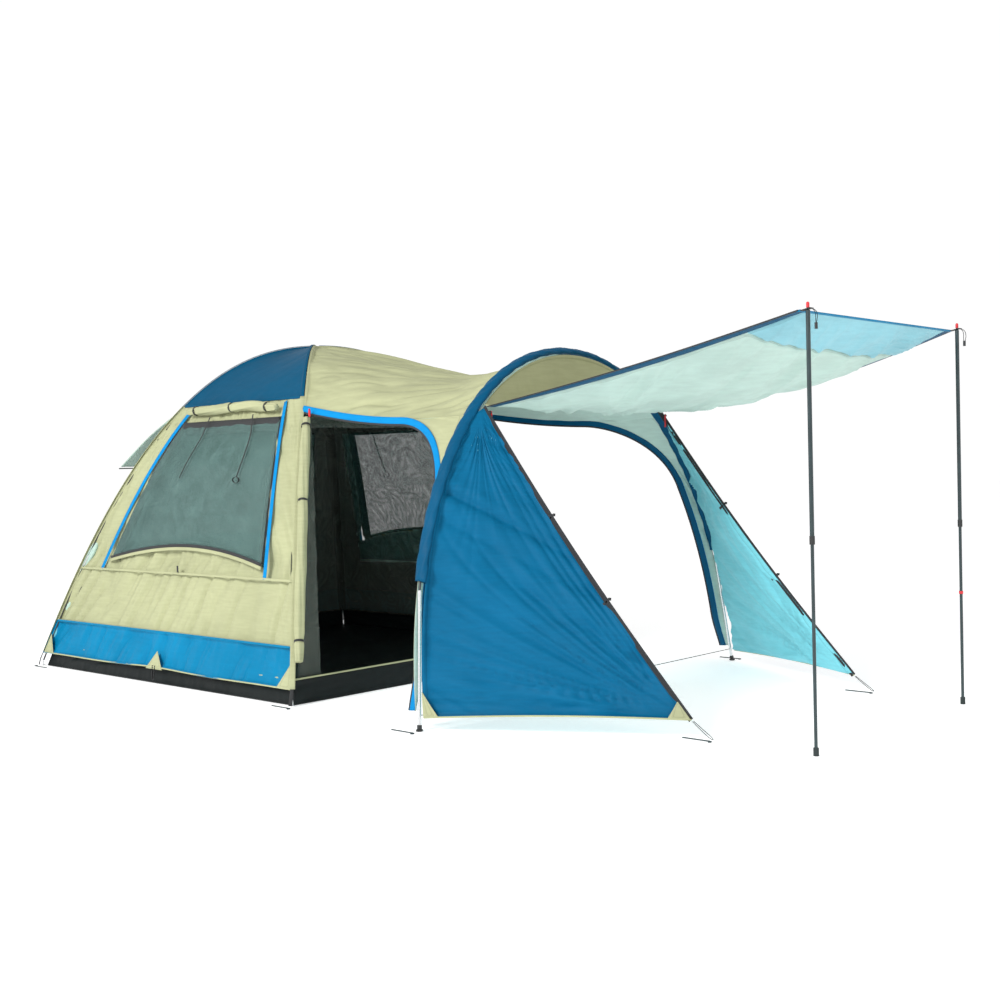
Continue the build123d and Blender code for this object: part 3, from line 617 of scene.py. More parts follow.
tip = (-HINGE.x, WING_TIP_Y - 0.008, WING_TIP_Z - 0.006)
turn = (-HINGE.x, -3.574, 0.012)
half_way = tuple((a + b) / 2 for a, b in zip(tip, turn))
loop = [(tip[0] - 0.005, tip[1], tip[2]), (half_way[0] - 0.009, half_way[1], half_way[2] - 0.002),
        (turn[0] - 0.010, turn[1], turn[2]), (turn[0] + 0.010, turn[1], turn[2]),
        (half_way[0] + 0.009, half_way[1], half_way[2] - 0.002), (tip[0] + 0.005, tip[1], tip[2])]
hang_from = (-POLE_X, POLE_Y, 1.8718)
hang_steps = [(-7, -20, -1), (-9, -34, -7), (-11, -42, -30), (-8, -40, -56), (0, -37, -72),
              (8, -36, -54), (11, -39, -30), (9, -33, -8), (7, -20, -2)]
hang = [tuple(a + b / 1000 for a, b in zip(hang_from, step)) for step in hang_steps]
for side, mirror in (("left", 1), ("right", -1)):
    wing_cord = cord_curve(f"wing_cord_{side}", "tent", loop, 0.0032, "wing_peg_cords", mirror)
    loop_cord = cord_curve(f"hang_cord_{side}", f"pole_head_{side}", hang, 0.003,
                           f"pole_cord_{side}", mirror)

# ---- fly walls
DOME_MIDDLE = (0.0, 0.0, 0.9)
PORCH_MIDDLE = (0.0, -1.5, 0.6)


def steps(low, high, size):
    return linspace(low, high, max(3, int(abs(high - low) / size) + 1))


def span(side, z_low, z_high, share_low, share_high, size):
    wide = FLY_HALF * (share_high - share_low)
    return steps(z_low, z_high, size), linspace(share_low, share_high, max(3, int(wide / size) + 1))


def wall_billow(share, z):
    """Cloth pulled tight between the poles sits slightly in of the straight surface."""
    middle = (1 - share ** 2) * np.sin(np.pi * np.clip((z - HEM_Z) / (ROOF_Z - HEM_Z), 0, 1))
    return -0.016 * middle


def sill_z(share):
    return SILL_Z + SILL_RISE * (1 - (share / WINDOW_SHARE) ** 2)


def mud_flap(side, seed):
    """The blue band at the foot of a wall. Its hem rises a little between the pegs."""
    def point(z, share):
        low = 1 - smooth(z, HEM_Z, BAND_Z)
        lift = 0.030 * (1 - np.abs(share)) * low * (0.5 + 0.5 * np.cos(2 * np.pi * share))
        P = wall(side, share, z, -0.007 * np.sin(share * 9 + seed) * low)
        P[..., 2] += lift * 0.4
        return P

    def creases(x, y, z, share):
        deep = folds(x, y, seed, 0.35, 0.085, 0.35) * 0.024
        corner = around(x, np.abs(y - y.max() / 2), 0.0, y.max() / 2, seed + 4, 14, 0.35) * 0.010
        return -(deep + corner + pucker(y, x.max() - x, seed + 2) * 0.0035)

    z, share = span(side, HEM_Z, BAND_Z, -1, 1, 0.014)
    cloth(f"mud_flap_{side}", point, z, share, "flap", "blue_in", DOME_MIDDLE, creases,
          replaces=["mud_flaps"] if side == "left" else [])


for seed, side in enumerate(FLY_SIDES):
    mud_flap(side, seed + 1)


def fly_wall(side, seed):
    """The wall above the mud flap, with its window opening; the blue upright strips are added after it."""
    def point(z, share):
        return wall(side, share, z, wall_billow(share, z))

    def creases(x, y, z, share):
        low = folds(x, y, seed, 0.22, 0.085, 0.50) * 0.032 * (1 - smooth(z, SILL_Z + 0.02, SILL_Z + 0.15))
        top = folds(x, y, seed + 5, -0.35, 0.050, 0.30) * 0.012 * smooth(z, SEAM_Z, SEAM_Z + 0.1)
        wide = y.max() / 2
        corners = ((0.0, 0.0), (0.0, 2 * wide), (x.max(), 0.1), (x.max(), 2 * wide - 0.1))
        pulls = sum(around(x, y, *at, seed + k, 16, 0.55) * 0.010 for k, at in enumerate(corners))
        middle = around(x, y, 0.0, wide, seed + 8, 9, 0.28) * 0.007
        seam_at = np.abs(x - x.max() * (SEAM_Z - BAND_Z) / (ROOF_Z - BAND_Z))
        seams = pucker(y, seam_at, seed + 2) * 0.003 + pucker(y, x, seed + 3) * 0.0035
        return -(low + top + pulls + middle + seams)

    def keep(z, share):
        return not (abs(share) < WINDOW_SHARE and sill_z(share) < z < LINTEL_Z)

    z, share = span(side, BAND_Z, ROOF_Z, -1, 1, 0.014)
    cloth(f"fly_{side}", point, z, share, "cream", "cream_in", DOME_MIDDLE, creases, keep,
          replaces=[f"fly_wall_{side}"])


for seed, side in enumerate(FLY_SIDES):
    fly_wall(side, 11 + seed)


def outline_band(name, side, line, wide, thick, material, lift=0.002, end=""):
    """A flat binding sewn on a wall along a line of (z, share) pairs."""
    P = np.array([wall(side, s, z, wall_billow(s, z) + lift) for z, s in line])
    across = np.cross(np.gradient(P, axis=0), (*TURNS[side], 0.25))
    strap(f"{name}_{side}{end}", P, wide, thick, material, across)


def line_between(z0, s0, z1, s1, size=0.03):
    n = max(3, int(math.hypot(z1 - z0, (s1 - s0) * 1.2) / size))
    return [(mix(z0, z1, k / n), mix(s0, s1, k / n)) for k in range(n + 1)]


for side in FLY_SIDES:
    for end, sign in (("a", -1), ("b", 1)):
        strip = line_between(SEAM_Z, 0.76 * sign, ROOF_Z - 0.02, 0.76 * sign)
        outline_band("strip", side, strip, 0.030, 0.0018, "bright", end=f"_{end}")
        back = sign * TURNS[side][0] > 0
        inner = (WINDOW_SHARE - (0.042 if back else 0.022)) * sign
        border = line_between(SILL_Z + 0.010, inner, LINTEL_Z, inner)
        wide = 0.090 if back else 0.045
        outline_band("border", side, border, wide, 0.0018, "zip", -0.010, f"_{end}")
    sill = linspace(-WINDOW_SHARE, WINDOW_SHARE, 60)
    outline_band("sill", side, [(sill_z(s) + 0.004, s) for s in sill], 0.020, 0.0018, "zip")
    lintel = line_between(LINTEL_Z - 0.040, -0.70, LINTEL_Z - 0.040, 0.70)
    outline_band("lintel", side, lintel, 0.085, 0.0018, "zip", -0.008)
    outline_band("sill_cover", side, [(sill_z(s) - 0.014, s) for s in sill], 0.020, 0.0016, "cream")
    for label, z, reach, wide, thick, kind, slot in (
            ("seam", SEAM_Z, 0.985, 0.014, 0.0016, "cream", "cream_cloth"),
            ("band_edge", BAND_Z, 0.985, 0.012, 0.0018, "flap", "blue_cloth"),
            ("roof_seam", ROOF_Z, 0.97, 0.018, 0.002, "roof", "blue_cloth")):
        outline_band(label, side, line_between(z, -reach, z, reach), wide, thick, kind)


for side in FLY_SIDES:
    P = []
    for s in linspace(-0.99, 0.99, 60):
        P.append(wall(side, s, HEM_Z))
        P[-1][2] += 0.012 * (1 - abs(s)) * (0.5 + 0.5 * math.cos(2 * math.pi * s))
    piping(f"hem_{side}", P, 0.0042)


def triangle(corners, u, v):
    """The two coordinates of a point in a small triangular patch, v 1 at its last corner."""
    a, b, c = corners
    return [mix(mix(a[k], b[k], u), c[k], v) for k in (0, 1)]


def gusset(end, side, corners):
    """A small sewn triangle of cream cloth: corners are (z, share)."""
    def point(u, v):
        z, share = triangle(corners, u, v)
        return wall(side, share, z, 0.004)

    cloth(f"gusset_{side}_{end}", point, linspace(0, 1, 14), linspace(0, 0.98, 14),
          "cream", "cream_in", DOME_MIDDLE,
          drape(5, 0.4, 0.02, 0.1, -0.001))


for side in FLY_SIDES:
    gusset("middle", side, ((HEM_Z - 0.001, -0.066), (HEM_Z - 0.001, 0.066), (0.195, 0.0)))
    gusset("a", side, ((HEM_Z, -0.995), (HEM_Z, -0.90), (0.215, -0.99)))
    gusset("b", side, ((HEM_Z, 0.90), (HEM_Z, 0.995), (0.215, 0.99)))
    nx, ny = TURNS[side]
    low = wall(side, 0.0, HEM_Z + 0.02, 0.007)
    hang_loop = []
    for t in linspace(0, math.pi, 15):
        out, wide = 0.01 * math.sin(t), 0.012 * math.cos(t)
        hang_loop.append(low + np.array([nx * out + ny * wide, ny * out - nx * wide, -0.085 * math.sin(t)]))
    strap(f"peg_loop_{side}", hang_loop, 0.010, 0.0016, "webbing", (nx, ny, 0))


def window(side, name, material, node, sill, top, inset, depth):
    """A window's insect mesh. Only the fly's billows with its wall."""
    share = WINDOW_SHARE - 0.004

    def point(k, s):
        z = mix(sill(s), top, k)
        return wall(side, s, z, wall_billow(s, z) * (inset == 0) - inset - 0.002)

    cloth(f"{name}_{side}", point, linspace(0, 1, 24), linspace(-share, share, 40),
          material, material, DOME_MIDDLE,
          drape(21, 0.75, 0.07, 0.6, depth),
          replaces=[node] if side == "left" else [],
          thick=MESH_THICK)


for side in FLY_SIDES:
    window(side, "window", "mesh", "fly_window_mesh", sill_z, LINTEL_Z, 0.0, 0.004)
    window(side, "inner_window", "inner_mesh", "inner_window_mesh", lambda s: INNER_SILL, INNER_HEAD,
           INNER_GAP, 0.010)

# ---- roof
def gore(side, seed, replaces):
    """One triangle of the roof, from the wall's top to the peak."""
    top = float(half_side(ROOF_Z))

    def point(half, share):
        dip = 0.022 * (1 - share ** 2) * np.sin(np.pi * np.clip((top - half) / top, 0, 1))
        return turned(side, half, (half - SEAM_GAP) * share, height_at(half) - dip)

    def creases(x, y, half, share):
        return -(folds(x, y * half / top, seed, 0.2, 0.10, 0.6) * 0.004 + pucker(y, x, seed + 2) * 0.004)

    cloth(f"roof_{side}", point, linspace(top, 0.012, 60), linspace(-1, 1, 100), "roof",
          "blue_in", DOME_MIDDLE, creases, replaces=replaces)


gore("left", 31, ["roof_side_panels"])
gore("right", 32, [])
gore("rear", 33, ["roof_rear_panel"])


# Edge binding where two panels meet over each dome pole.
roof_low = float(half_side(ROOF_Z))
for index, (sx, sy) in enumerate(CORNERS):
    for label, low, high, wide, kind, slot in (
            ("", roof_low, float(half_side(HEM_Z)), 0.030, "cream", "cream_cloth"),
            ("roof_", 0.02, roof_low, 0.016, "roof", "blue_cloth")):
        xs = linspace(low, high, 70)
        line = np.stack([sx * xs, sy * xs, height_at(xs) + 0.003], -1)
        strap(f"pole_seam_{label}{index}", line, wide, 0.0020, kind, (sx, -sy, 0))

# ---- rolled window covers and rolled side doors
def roll_section(radius, seed, ties):
    turns = np.arange(28) * 2 * math.pi / 28

    def section(share):
        pinch = sum(0.14 * math.exp(-((share - t) / 0.012) ** 2) for t in ties)
        ends = 1 - 0.35 * (abs(2 * share - 1) ** 8)
        bumps = (value_noise(turns * 1.9, share * 9.0, seed) - 0.5) * 0.20
        lap = 0.08 * np.sin(turns * 5 + 13 * share + seed) + 0.05 * np.sin(turns * 9 + seed + 29 * share)
        r = radius * ends * (1 - pinch) * (0.87 + bumps + lap)
        return np.stack([r * np.cos(turns), r * np.sin(turns)], -1)

    return section


def rolled(name, points, radius, seed, ties, replaces):
    """Cloth rolled up along a line of points, held by a webbing tie at each share in `ties`."""
    line = evenly(np.asarray(points, float), ROLL_STEPS)
    obj = loft(name, line, roll_section(radius, seed, ties), "cream", replaces)
    _, tangent, A, B = frames_along(line)
    for n, tie in enumerate(ties):
        k = int(tie * (ROLL_STEPS - 1))
        r = radius * 0.86
        ring = [line[k] + A[k] * r * math.cos(t) + B[k] * r * math.sin(t)
                for t in linspace(0, 2 * math.pi, 25)]
        strap(f"{name}_tie_{n}", ring, 0.012, 0.0022, "webbing", tangent[k])


for k, (side, sign) in enumerate(ENDS):
    line = []
    for s in linspace(-0.98, 0.98, 15):
        z = WINDOW_ROLL_Z + 0.014 * (1 - s * s) + 0.006 * math.sin(5 * s)
        half = float(half_side(z))
        line.append((sign * (half + ROLL_R + 0.004), sign * WINDOW_SHARE * half * s, z))
    rolled(f"window_roll_{side}", line, 0.034, 3 + k, (0.10, 0.50, 0.90), ["window_rolls"] if k == 0 else [])
    doors = []
    for z in linspace(DOOR_ROLL_FOOT, DOOR_ROLL_HEAD, 16):
        half = float(half_side(z))
        doors.append((sign * (half + 0.004), -half - ROLL_R - 0.022, z))
    rolled(f"side_door_roll_{side}", doors, 0.032, 8 + k, (0.08, 0.62, 0.96),
           ["side_door_rolls"] if k == 0 else [])

# ---- rear hood
hood_root_z = ROOF_Z - 0.014
hood_root = float(half_side(hood_root_z)) + 0.005


def hood_point(out, share):
    y = mix(hood_root, HOOD_OUT, out)
    z = mix(hood_root_z, HOOD_Z, out) + 0.026 * np.sin(np.pi * out)
    return pack3(share * mix(hood_root - 0.025, HOOD_HALF, out), y, z)


cloth("hood_cloth", hood_point, linspace(0, 1, 50), linspace(-1, 1, 110), "cream", "cream_in",
      DOME_MIDDLE, drape(41, 0.1, 0.09, 0.4, 0.005), replaces=["rear_hood"])

# ---- vestibule
door_half = FLY_HALF * DOOR_TOP_SHARE
door_angle = float(hoop_angle(DOOR_TOP_Z))


def vestibule_roof(share, out):
    """The vestibule's roof: out is 0 on the dome poles and 1 on the hoop."""
    x = share * door_half
    start = pack3(x, -np.abs(x) - 0.018, height_at(x))
    end = hoop(np.pi / 2 + share * (np.pi / 2 - door_angle), 0.012, 0.014)
    P = start + (end - start) * out[..., None]
    P[..., 2] -= ROOF_SAG * np.sin(np.pi * out) + ROOF_DIP * (1 - share ** 2) * np.sin(np.pi * out ** 1.8)
    return P


def roof_creases(x, y, share, out):
    pull = folds(x, y, 51, 1.25, 0.10, 0.6) * 0.024
    edge = pucker(x, y, 52) * 0.006 + pucker(x, y.max() - y, 53) * 0.006
    return -(pull + edge)


cloth("porch_roof", vestibule_roof, linspace(-1, 1, 170), linspace(0, 1, 110), "cream",
      "cream_in", PORCH_MIDDLE, roof_creases, replaces=["vestibule_roof"])


def door_edge(sign, out):
    """The top edge of a side doorway, from the dome pole to the hoop."""
    return vestibule_roof(np.full_like(out, float(sign)), out)


BAND_CURVE_Z = 1.080
BAND_LOW, BAND_HIGH, BAND_TURN = 0.02, 0.36, 0.060


def band_point(sign, z, across):
    """A point on the narrow side wall behind the hoop's leg, across 0 at the hoop to 1 at the door."""
    curve = np.clip((z - BAND_CURVE_Z) / (DOOR_TOP_Z - BAND_CURVE_Z), 0, 1)
    share = across * (BAND_LOW + (BAND_HIGH - BAND_LOW) * (1 - np.sqrt(1 - curve ** 2)))

    def ruled(height):
        near = hoop(hoop_angle(height), 0.004, 0.014)
        side = half_side(height)
        return near + (pack3(-side, -side, height) - near) * share[..., None]

    edge = door_edge(-1, 1 - share)
    rise = smooth(z, 1.15, DOOR_TOP_Z)
    height = z + (edge[..., 2] - DOOR_TOP_Z) * rise
    P = ruled(height) + (edge - ruled(edge[..., 2])) * rise[..., None]
    P[..., 0] += BAND_TURN * across * (1 - curve) * smooth(z, 0.0, 0.3)
    P[..., 2] = height
    P[..., 0] *= -sign
    return P


band_rows = np.concatenate([
    linspace(0.092, BAND_CURVE_Z, 60),
    BAND_CURVE_Z + (DOOR_TOP_Z - BAND_CURVE_Z) * np.sin(linspace(0, np.pi / 2, 50))[1:]])
for name, sign in ENDS:
    cloth(f"door_band_{name}", lambda z, a: band_point(sign, z, a), band_rows,
          linspace(0, 1, 24), "cream", "cream_in", PORCH_MIDDLE,
          drape(54, 0.5, 0.05, 0.3, 0.004))
    top_edge = door_edge(sign, linspace(0.0, 1 - BAND_HIGH, 40))
    low_edge = band_point(sign, band_rows[::-1], np.ones(len(band_rows)))
    edge = evenly(np.concatenate([top_edge[:-1], low_edge]), 150)
    outward = unit(np.array([sign, 0, 0.3]))
    inward = unit(np.cross(unit(np.gradient(edge, axis=0)), outward) * -sign)
    middle = edge + inward * 0.012
    strap(f"door_trim_{name}", middle + outward * 0.003, 0.038, 0.0022, "bright", inward)
    strap(f"door_lining_{name}", middle - outward * 0.002, 0.038, 0.0022, "sleeve", inward)
    strap(f"door_zip_{name}", edge + inward * 0.035, 0.014, 0.0040, "zip", inward)

# The sleeve over the hoop, gathered a little round the pole.
SLEEVE_OUT, SLEEVE_ALONG, SLEEVE_FLAT = 0.0150, 0.0320, 0.155
SLEEVE_POINTS, UV_GIRTH = 24, 0.19
sleeve_start = float(hoop_angle(SLEEVE_BOTTOM))
angles = linspace(sleeve_start, math.pi - sleeve_start, 220)
at = hoop(angles)
outward = unit(hoop(angles, grow=0.01) - at)
turns = np.arange(SLEEVE_POINTS) * 2 * math.pi / SLEEVE_POINTS
rings, uv, seam = [], [], []
for k in range(len(angles)):
    gather = 0.0022 * np.sin(turns * 4 + k * 0.9)
    gather = gather + 0.0030 * value_noise(turns * 2.0, np.full(SLEEVE_POINTS, k * 0.35), 61)
    r_out = (SLEEVE_OUT + gather)[:, None] * np.cos(turns)[:, None] * outward[k]
    r_along = (SLEEVE_ALONG + gather)[:, None] * np.sin(turns)[:, None] * np.array([0.0, 1.0, lean])
    rings.append(at[k] + r_out + r_along)
    uv += [(m / SLEEVE_POINTS * UV_GIRTH, k * 0.02) for m in range(SLEEVE_POINTS)]
    seam += [(abs(m / SLEEVE_POINTS - 0.5) * UV_GIRTH, k * 0.02) for m in range(SLEEVE_POINTS)]
sleeve = add_object("sleeve", np.concatenate(rings), tube_faces(len(angles), SLEEVE_POINTS), ["sleeve"],
                    uv, seam)
thicken(sleeve, CLOTH_THICK)
attach(sleeve, "tent", ["hoop_sleeve"])


def arch(share, down):
    """The crescent between the sleeve and the awning's hinge line."""
    end_angle = float(hoop_angle(HINGE.z + 0.030))
    top = hoop(np.pi / 2 + share * (np.pi / 2 - end_angle), -0.023, -0.030)
    low = pack3(share * HINGE.x, HINGE.y + 0.014, HINGE.z + 0.012)
    return top + (low - top) * down[..., None]


cloth("front_arch", arch, linspace(-0.985, 0.985, 110), linspace(0, 1, 26), "cream", "cream_in",
      PORCH_MIDDLE, lambda x, y, u, v: -(folds(x, y, 71, 1.45, 0.10, 0.3) * 0.006 + pucker(x, y, 72) * 0.004),
      replaces=["front_arch_panel"])

# ---- front wings
WING_SAG = 0.030
WING_PATCHES = (((0.0, 0.0), (0.0, 0.06), (0.085, 0.0)), ((0.0, 0.915), (0.0, 1.0), (0.055, 1.0)))
zip_top = Vector((-HINGE.x, HINGE.y, HINGE.z))
zip_foot = Vector((-HINGE.x, WING_TIP_Y, WING_TIP_Z))
zip_dir = (zip_foot - zip_top).normalized()
zip_out = Vector((0, zip_dir.z, -zip_dir.y))


def wing(sign):
    def point(up, out):
        z = mix(WING_HEM_Z, HINGE.z - 0.024, up)
        base = hoop(hoop_angle(z), -0.006, -0.030)
        tip_at = pack3(-HINGE.x, mix(WING_TIP_Y, HINGE.y, up), mix(WING_TIP_Z, HINGE.z - 0.006, up))
        P = base + (tip_at - base) * out[..., None]
        slack = WING_SAG * np.sin(np.pi * up) * out ** 2
        P[..., 1] -= slack * zip_out.y
        P[..., 2] -= slack * zip_out.z
        P[..., 2] += 0.012 * np.sin(np.pi * out) * (1 - smooth(up, 0.0, 0.15))
        P[..., 0] *= -sign
        return P

    return point


def wing_creases(x, y, up, out):
    foot = around(x, y, 0.02, y.max() * 0.98, 81, 18, 0.8) * 0.026
    head = around(x, y, x.max(), y.max() * 0.5, 82, 14, 0.6) * 0.012
    sweep = folds(x, y * (1.05 - up), 83, -0.75, 0.10, 0.9) * 0.024
    return -(foot + head + sweep + pucker(x, y, 84) * 0.005) * smooth(1 - up, 0.0, 0.12)


def edge_line(sign, off, low=0.0, high=1.0, count=60):
    """Points beside a wing's slanted edge, off in front of it."""
    P = []
    for up in linspace(high, low, count):
        slack = WING_SAG * math.sin(math.pi * up)
        q = zip_foot + (zip_top - zip_foot) * up + zip_out * (off - slack)
        P.append((-sign * q.x, q.y, q.z))
    return P


for name, sign in ENDS:
    cloth(f"wing_{name}", wing(sign), linspace(0, 1, 110), linspace(0, 1, 90), "blue", "blue_in",
          PORCH_MIDDLE, wing_creases, replaces=["front_wings"] if sign < 0 else [])
    strap(f"wing_tape_{name}", edge_line(sign, -0.006), 0.022, 0.0022, "zip", zip_out)
    teeth = strap(f"wing_teeth_{name}", edge_line(sign, 0.007), 0.007, 0.0030, "zip", zip_out)
    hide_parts("wing_zips")
    for n, up in enumerate((0.36, 0.63)):
        q = np.array(edge_line(sign, -0.004, up, up + 0.001, 2)[0])
        d = np.array(zip_out)
        tab = [q - d * 0.030, q, q + d * 0.022, q + d * 0.035 - (0, 0, 0.01)]
        strap(f"wing_tab_{name}_{n}", tab, 0.014, 0.0022, "webbing", zip_dir)
    hem = wing(sign)(np.zeros(40), linspace(0, 1, 40))
    piping(f"wing_hem_{name}", hem, 0.0042)

    for n, corners in enumerate(WING_PATCHES):
        def patch(u, v):
            P = wing(sign)(*triangle(corners, u, v))
            P[..., 0] += sign * 0.004
            return P

        cloth(f"wing_patch_{name}_{n}", patch, linspace(0, 1, 16), linspace(0, 0.98, 16),
              "cream", "cream_in", PORCH_MIDDLE)

# ---- awning
out_dir = np.array([0, -math.cos(AWNING_TILT), math.sin(AWNING_TILT)])
up_dir = np.array([0, math.sin(AWNING_TILT), math.cos(AWNING_TILT)])
hinge_at = np.array([0, HINGE.y, HINGE.z])


def awning(at, x):
    """The raised door's cloth: it sags between its edges, more on the far side."""
    share = x / AWNING_HALF
    arc = np.sin(np.pi * at / AWNING_LENGTH)
    sag = AWNING_SAG * (1 - share ** 2) * arc + arc * (0.018 + 0.058 * smooth(share, -0.6, 1.0))
    sag = sag - 0.010 * np.exp(-((share + 2 * at / AWNING_LENGTH - 1) / 0.05) ** 2) * arc
    return hinge_at + out_dir * at[..., None] + pack3(x, 0, 0) - up_dir * sag[..., None]


def awning_creases(x, y, at, across):
    share = across / AWNING_HALF
    spread_out = folds(at, across, 91, -0.68, 0.13, 1.0) * 0.026
    corners = sum(around(at, across, px, py, seed, count, reach) * depth
                  for px, py, seed, count, reach, depth in (
                      (0.0, AWNING_HALF, 92, 15, 0.8, 0.016), (0.0, -AWNING_HALF, 93, 15, 0.7, 0.013),
                      (AWNING_LENGTH, -AWNING_HALF, 94, 14, 0.6, 0.012),
                      (AWNING_LENGTH, AWNING_HALF, 95, 14, 0.6, 0.012)))
    inside = (1 - np.abs(share) ** 6) * smooth(AWNING_LENGTH - at, 0.0, 0.1) * smooth(at, 0.0, 0.1)
    return -(spread_out + corners) * inside


TRIM_IN = AWNING_HALF - TRIM_WIDTH
panel_end = AWNING_LENGTH - BAND_LENGTH
BELOW = (0.0, -3.0, 0.0)
cloth("awning_panel_cloth", awning, linspace(0.012, panel_end, 130), linspace(-TRIM_IN, TRIM_IN, 110),
      "cream", "cream_in", BELOW, awning_creases, replaces=["awning_panel"],
      body="awning")
cloth("awning_band_cloth", awning, linspace(panel_end, AWNING_LENGTH, 34),
      linspace(-TRIM_IN, TRIM_IN, 110), "flap", "band_in", BELOW, awning_creases,
      replaces=["awning_front_band"], body="awning")
for name, sign in ENDS:
    cloth(f"awning_edge_{name}", lambda at, x: awning(at, x * sign),
          linspace(0.012, AWNING_LENGTH, 130), linspace(TRIM_IN, AWNING_HALF, 8), "blue", "sleeve",
          BELOW,
          lambda x, y, at, a: -pucker(at, AWNING_HALF - a, 96) * 0.004, replaces=[f"awning_trim_{name}"],
          body="awning")
    edge = awning(linspace(0.014, AWNING_LENGTH - 0.002, 90), np.full(90, sign * (AWNING_HALF - 0.002)))
    strap(f"awning_zip_{name}", edge, 0.016, 0.0040, "zip", (1, 0, 0), body="awning")
front_edge = awning(np.full(60, AWNING_LENGTH - 0.003), linspace(-AWNING_HALF, AWNING_HALF, 60))
strap("awning_hem", front_edge - up_dir * 0.0008, 0.020, 0.0040, "flap", out_dir, body="awning")
seam_line = awning(np.full(60, panel_end), linspace(-TRIM_IN, TRIM_IN, 60))
strap("awning_seam", seam_line - up_dir * 0.001, 0.016, 0.0036, "cream_in", out_dir,
      body="awning")


def hinge_fold(u, x):
    """The narrow flap between the hinge line and the raised door's cloth, built in this one pose."""
    low = np.array([0, HINGE.y + 0.014, HINGE.z + 0.012])
    far = awning(np.full_like(x, 0.016), x)
    near = low + pack3(x, 0, 0)
    return near + (far - near) * u[..., None] + pack3(0, 0, 0.004) * np.sin(np.pi * u)[..., None]


fold_start = (0, HINGE.y + 0.012, HINGE.z + 0.01)
fold_end = tuple(hinge_at + out_dir * 0.014)
cloth("hinge_fold", hinge_fold, linspace(0, 1, 9),
      linspace(-AWNING_HALF, AWNING_HALF, 60), "cream", "cream_in", BELOW,
      body=("tent", "awning", fold_start, fold_end))

# ---- bathtub and inner tent
def tub(side):
    tub_lean = FLY_HALF - float(half_side(TUB_HEIGHT))

    def point(z, share):
        half = FLOOR_HALF - 0.002 - tub_lean * (z - 0.003) / TUB_HEIGHT
        return turned(side, half, (half - 0.004) * share, z)

    return point


for k, side in enumerate(TURNS):
    cloth(f"tub_{side}", tub(side), linspace(0.004, TUB_HEIGHT, 14), linspace(-1, 1, 160), "tub",
          "tub", DOME_MIDDLE, lambda x, y, z, s: -(folds(x, y, 101 + k, 1.3, 0.08, 0.3) * 0.008
                                                      + pucker(y, x, 102) * 0.004),
          replaces=["tub_walls"] if k == 0 else [])
    line = tub(side)(np.full(60, TUB_HEIGHT + 0.002), linspace(-1, 1, 60))
    piping(f"tub_piping_{side}", line, 0.0050)


def floor(x, y):
    return pack3(x, y, 0.0020 + value_noise(x * 2.1 + 9, y * 2.3 + 9, 111) * 0.006)


floor_steps = linspace(-FLOOR_HALF + 0.003, FLOOR_HALF - 0.003, 130)
cloth("floor_cloth", floor, floor_steps, floor_steps, "tub", "tub", (0, 0, -1),
      drape(112, 0.9, 0.16, 0.7, -0.010), replaces=["tub_floor"])


for k, side in enumerate(TURNS):
    z, share = span(side, TUB_HEIGHT, INNER_TOP, -1, 1, 0.030)

    def inner_wall(z, share):
        return wall(side, share * INNER_SHARE, z, -INNER_GAP)

    def keep(z, share):
        reach, low = (DOOR_JAMB_SHARE, 0.0) if side == "front" else (WINDOW_SHARE, INNER_SILL)
        return not (abs(share) < reach / INNER_SHARE and low < z < INNER_HEAD)

    cloth(f"inner_{side}", inner_wall, z, share, "inner", "inner", DOME_MIDDLE,
          drape(121 + k, 1.4, 0.10, 0.6, 0.012), keep,
          replaces=["inner_front_wall" if side == "front" else f"inner_wall_{side}"])
    top = float(half_side(INNER_TOP + 0.004)) - INNER_GAP

    def inner_gore(half, s):
        z_at = height_at(half + INNER_GAP) - 0.060 * (top - half) / (top - 0.060)
        return turned(side, half, (half - 0.004) * s, z_at)

    cloth(f"inner_roof_{side}", inner_gore, linspace(top, 0.055, 40), linspace(-1, 1, 50), "inner",
          "inner", DOME_MIDDLE, drape(131 + k, 1.2, 0.12, 0.5, 0.008),
          replaces=["inner_roof"] if k == 0 else [])

# ---- small parts
TAPE_TOP_Z, TAPE_LENGTH = 1.600, 0.38
for side, sign in ENDS:
    for n, share in enumerate((0.37, -0.30)):
        tail = [wall(side, share + 0.018 * math.sin(4 * t + n), TAPE_TOP_Z - TAPE_LENGTH * t,
                     0.030 - 0.024 * min(1, 3 * t)) for t in linspace(0, 1, 14)]
        strap(f"window_tape_{side}_{n}", tail, 0.010, 0.0012, "webbing", (0, 1, 0.1))
        if n == 0:
            for m, flip in enumerate((-1, 1)):
                bow = [tail[-1] + np.array([sign * 0.006, flip * 0.030 * math.sin(t),
                                            0.018 * math.cos(t) - 0.018]) for t in linspace(0, math.pi, 11)]
                strap(f"window_bow_{side}_{m}", bow, 0.010, 0.0012, "webbing", (1, 0, 0))
    mark = [wall(side, 0.0, 0.672, 0.004) + np.array([0, 0, z]) for z in (-0.020, 0, 0.020)]
    strap(f"wall_tab_{side}", mark, 0.016, 0.0022, "webbing", (0, 1, 0))
    half = float(half_side(1.56))
    toggle = [(sign * (half + 0.012), -half - ROLL_R - 0.058, 1.585 + 0.024 - 0.006 * k) for k in range(9)]
    loft(f"door_toggle_{side}", toggle,
         lambda share: circle(0.0055 + 0.0020 * math.sin(math.pi * share), 12), "red_plastic")

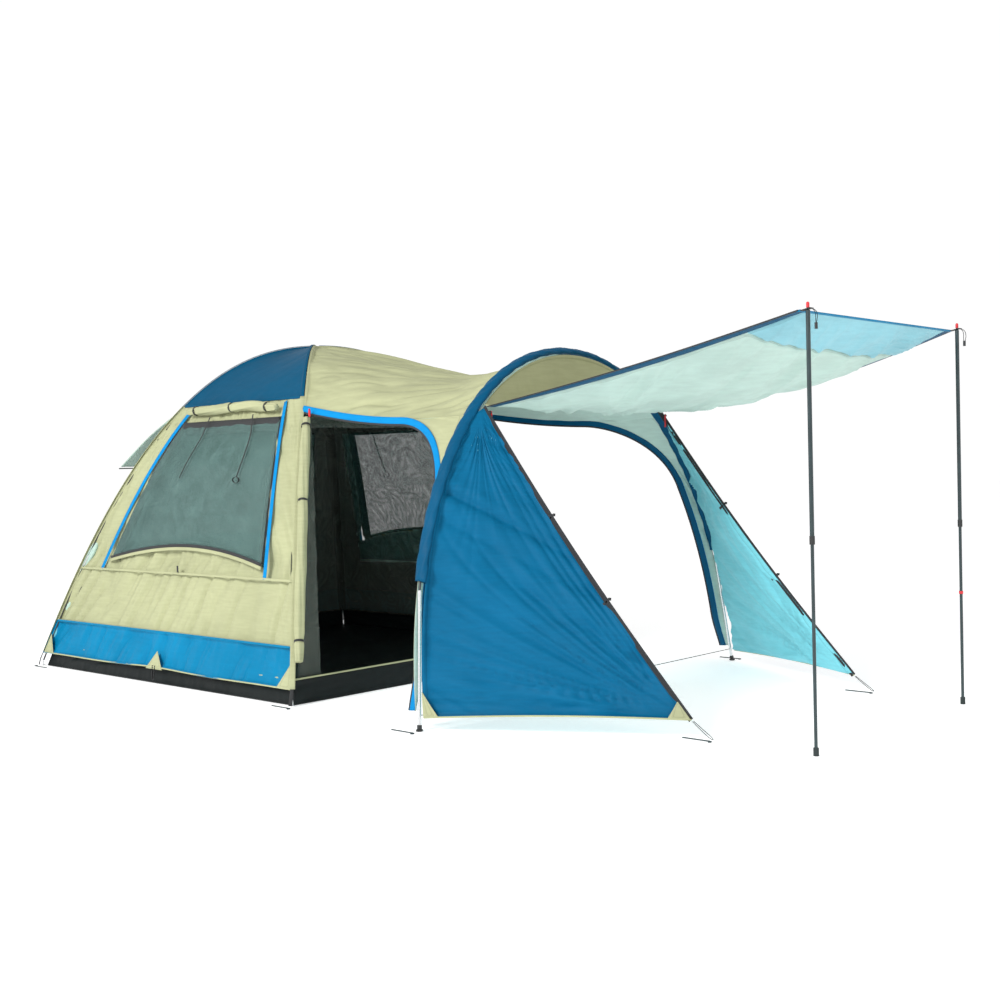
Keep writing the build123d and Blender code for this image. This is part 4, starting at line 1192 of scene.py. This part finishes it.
for n, (sx, sy) in enumerate(CORNERS):
    top_at = np.array([sx * 1.296, sy * 1.296, 0.110])
    low_at = np.array([sx * 1.330, sy * 1.316, 0.010])
    line = [mix(top_at, low_at, t) + np.array([sx, sy, 0]) * 0.004 * math.sin(math.pi * t)
            for t in linspace(0, 1, 12)]
    strap(f"corner_strap_{n}", line, 0.020, 0.0018, "webbing", (sx, -sy, 0))
ring = [(POLE_X + 0.0092 * math.cos(t), POLE_Y + 0.0092 * math.sin(t), 0.560)
        for t in linspace(0, 2 * math.pi, 25)]
strap("prop_mark", ring, 0.014, 0.0020, "red_plastic", (0, 0, 1), "pole_lower_right")

# ---- floor, light and backdrop
GROUND = 60.0
M["ground"] = pale = bpy.data.materials.new("ground")
pale.use_nodes = True
for socket, value in (("Base Color", (0.86, 0.86, 0.86, 1)), ("Roughness", 0.9), ("Specular IOR Level", 0.1),
                      ("Emission Color", (1, 1, 1, 1)), ("Emission Strength", 0.47)):
    pale.node_tree.nodes["Principled BSDF"].inputs[socket].default_value = value
ground_corners = [(-GROUND, -GROUND, -0.001), (GROUND, -GROUND, -0.001),
                  (GROUND, GROUND, -0.001), (-GROUND, GROUND, -0.001)]
ground = add_object("ground", ground_corners, [(0, 1, 2, 3)], ["ground"])


def softbox(name, place, aim, size, power):
    data = bpy.data.lights.new(name, "AREA")
    data.shape = "DISK"
    data.size = size
    data.energy = power
    lamp = bpy.data.objects.new(name, data)
    lamp.location = place
    lamp.rotation_euler = (Vector(aim) - Vector(place)).to_track_quat("-Z", "Y").to_euler()
    bpy.context.scene.collection.objects.link(lamp)


softbox("key", (-8.5, -1.5, 5.5), (0, -1.0, 0.8), 3.0, 640)
softbox("front", (-2.0, -11.0, 5.0), (0, -2.0, 0.8), 4.0, 120)

# A bright band round the horizon and a dimmer sky above it.
world = bpy.data.worlds.new("studio")
bpy.context.scene.world = world
world.use_nodes = True
tree = world.node_tree
up_down = tree.nodes.new("ShaderNodeSeparateXYZ")
tree.links.new(tree.nodes.new("ShaderNodeTexCoord").outputs["Generated"], up_down.inputs[0])
band = tree.nodes.new("ShaderNodeMapRange")
tree.links.new(up_down.outputs[2], band.inputs[0])
for key, value in ((1, 0.38), (2, 0.62), (3, 1.02), (4, 0.50)):
    band.inputs[key].default_value = value
tree.links.new(band.outputs[0], tree.nodes["Background"].inputs["Strength"])
tree.nodes["Background"].inputs["Color"].default_value = (1, 1, 1, 1)
bpy.context.scene.view_settings.view_transform = "Standard"
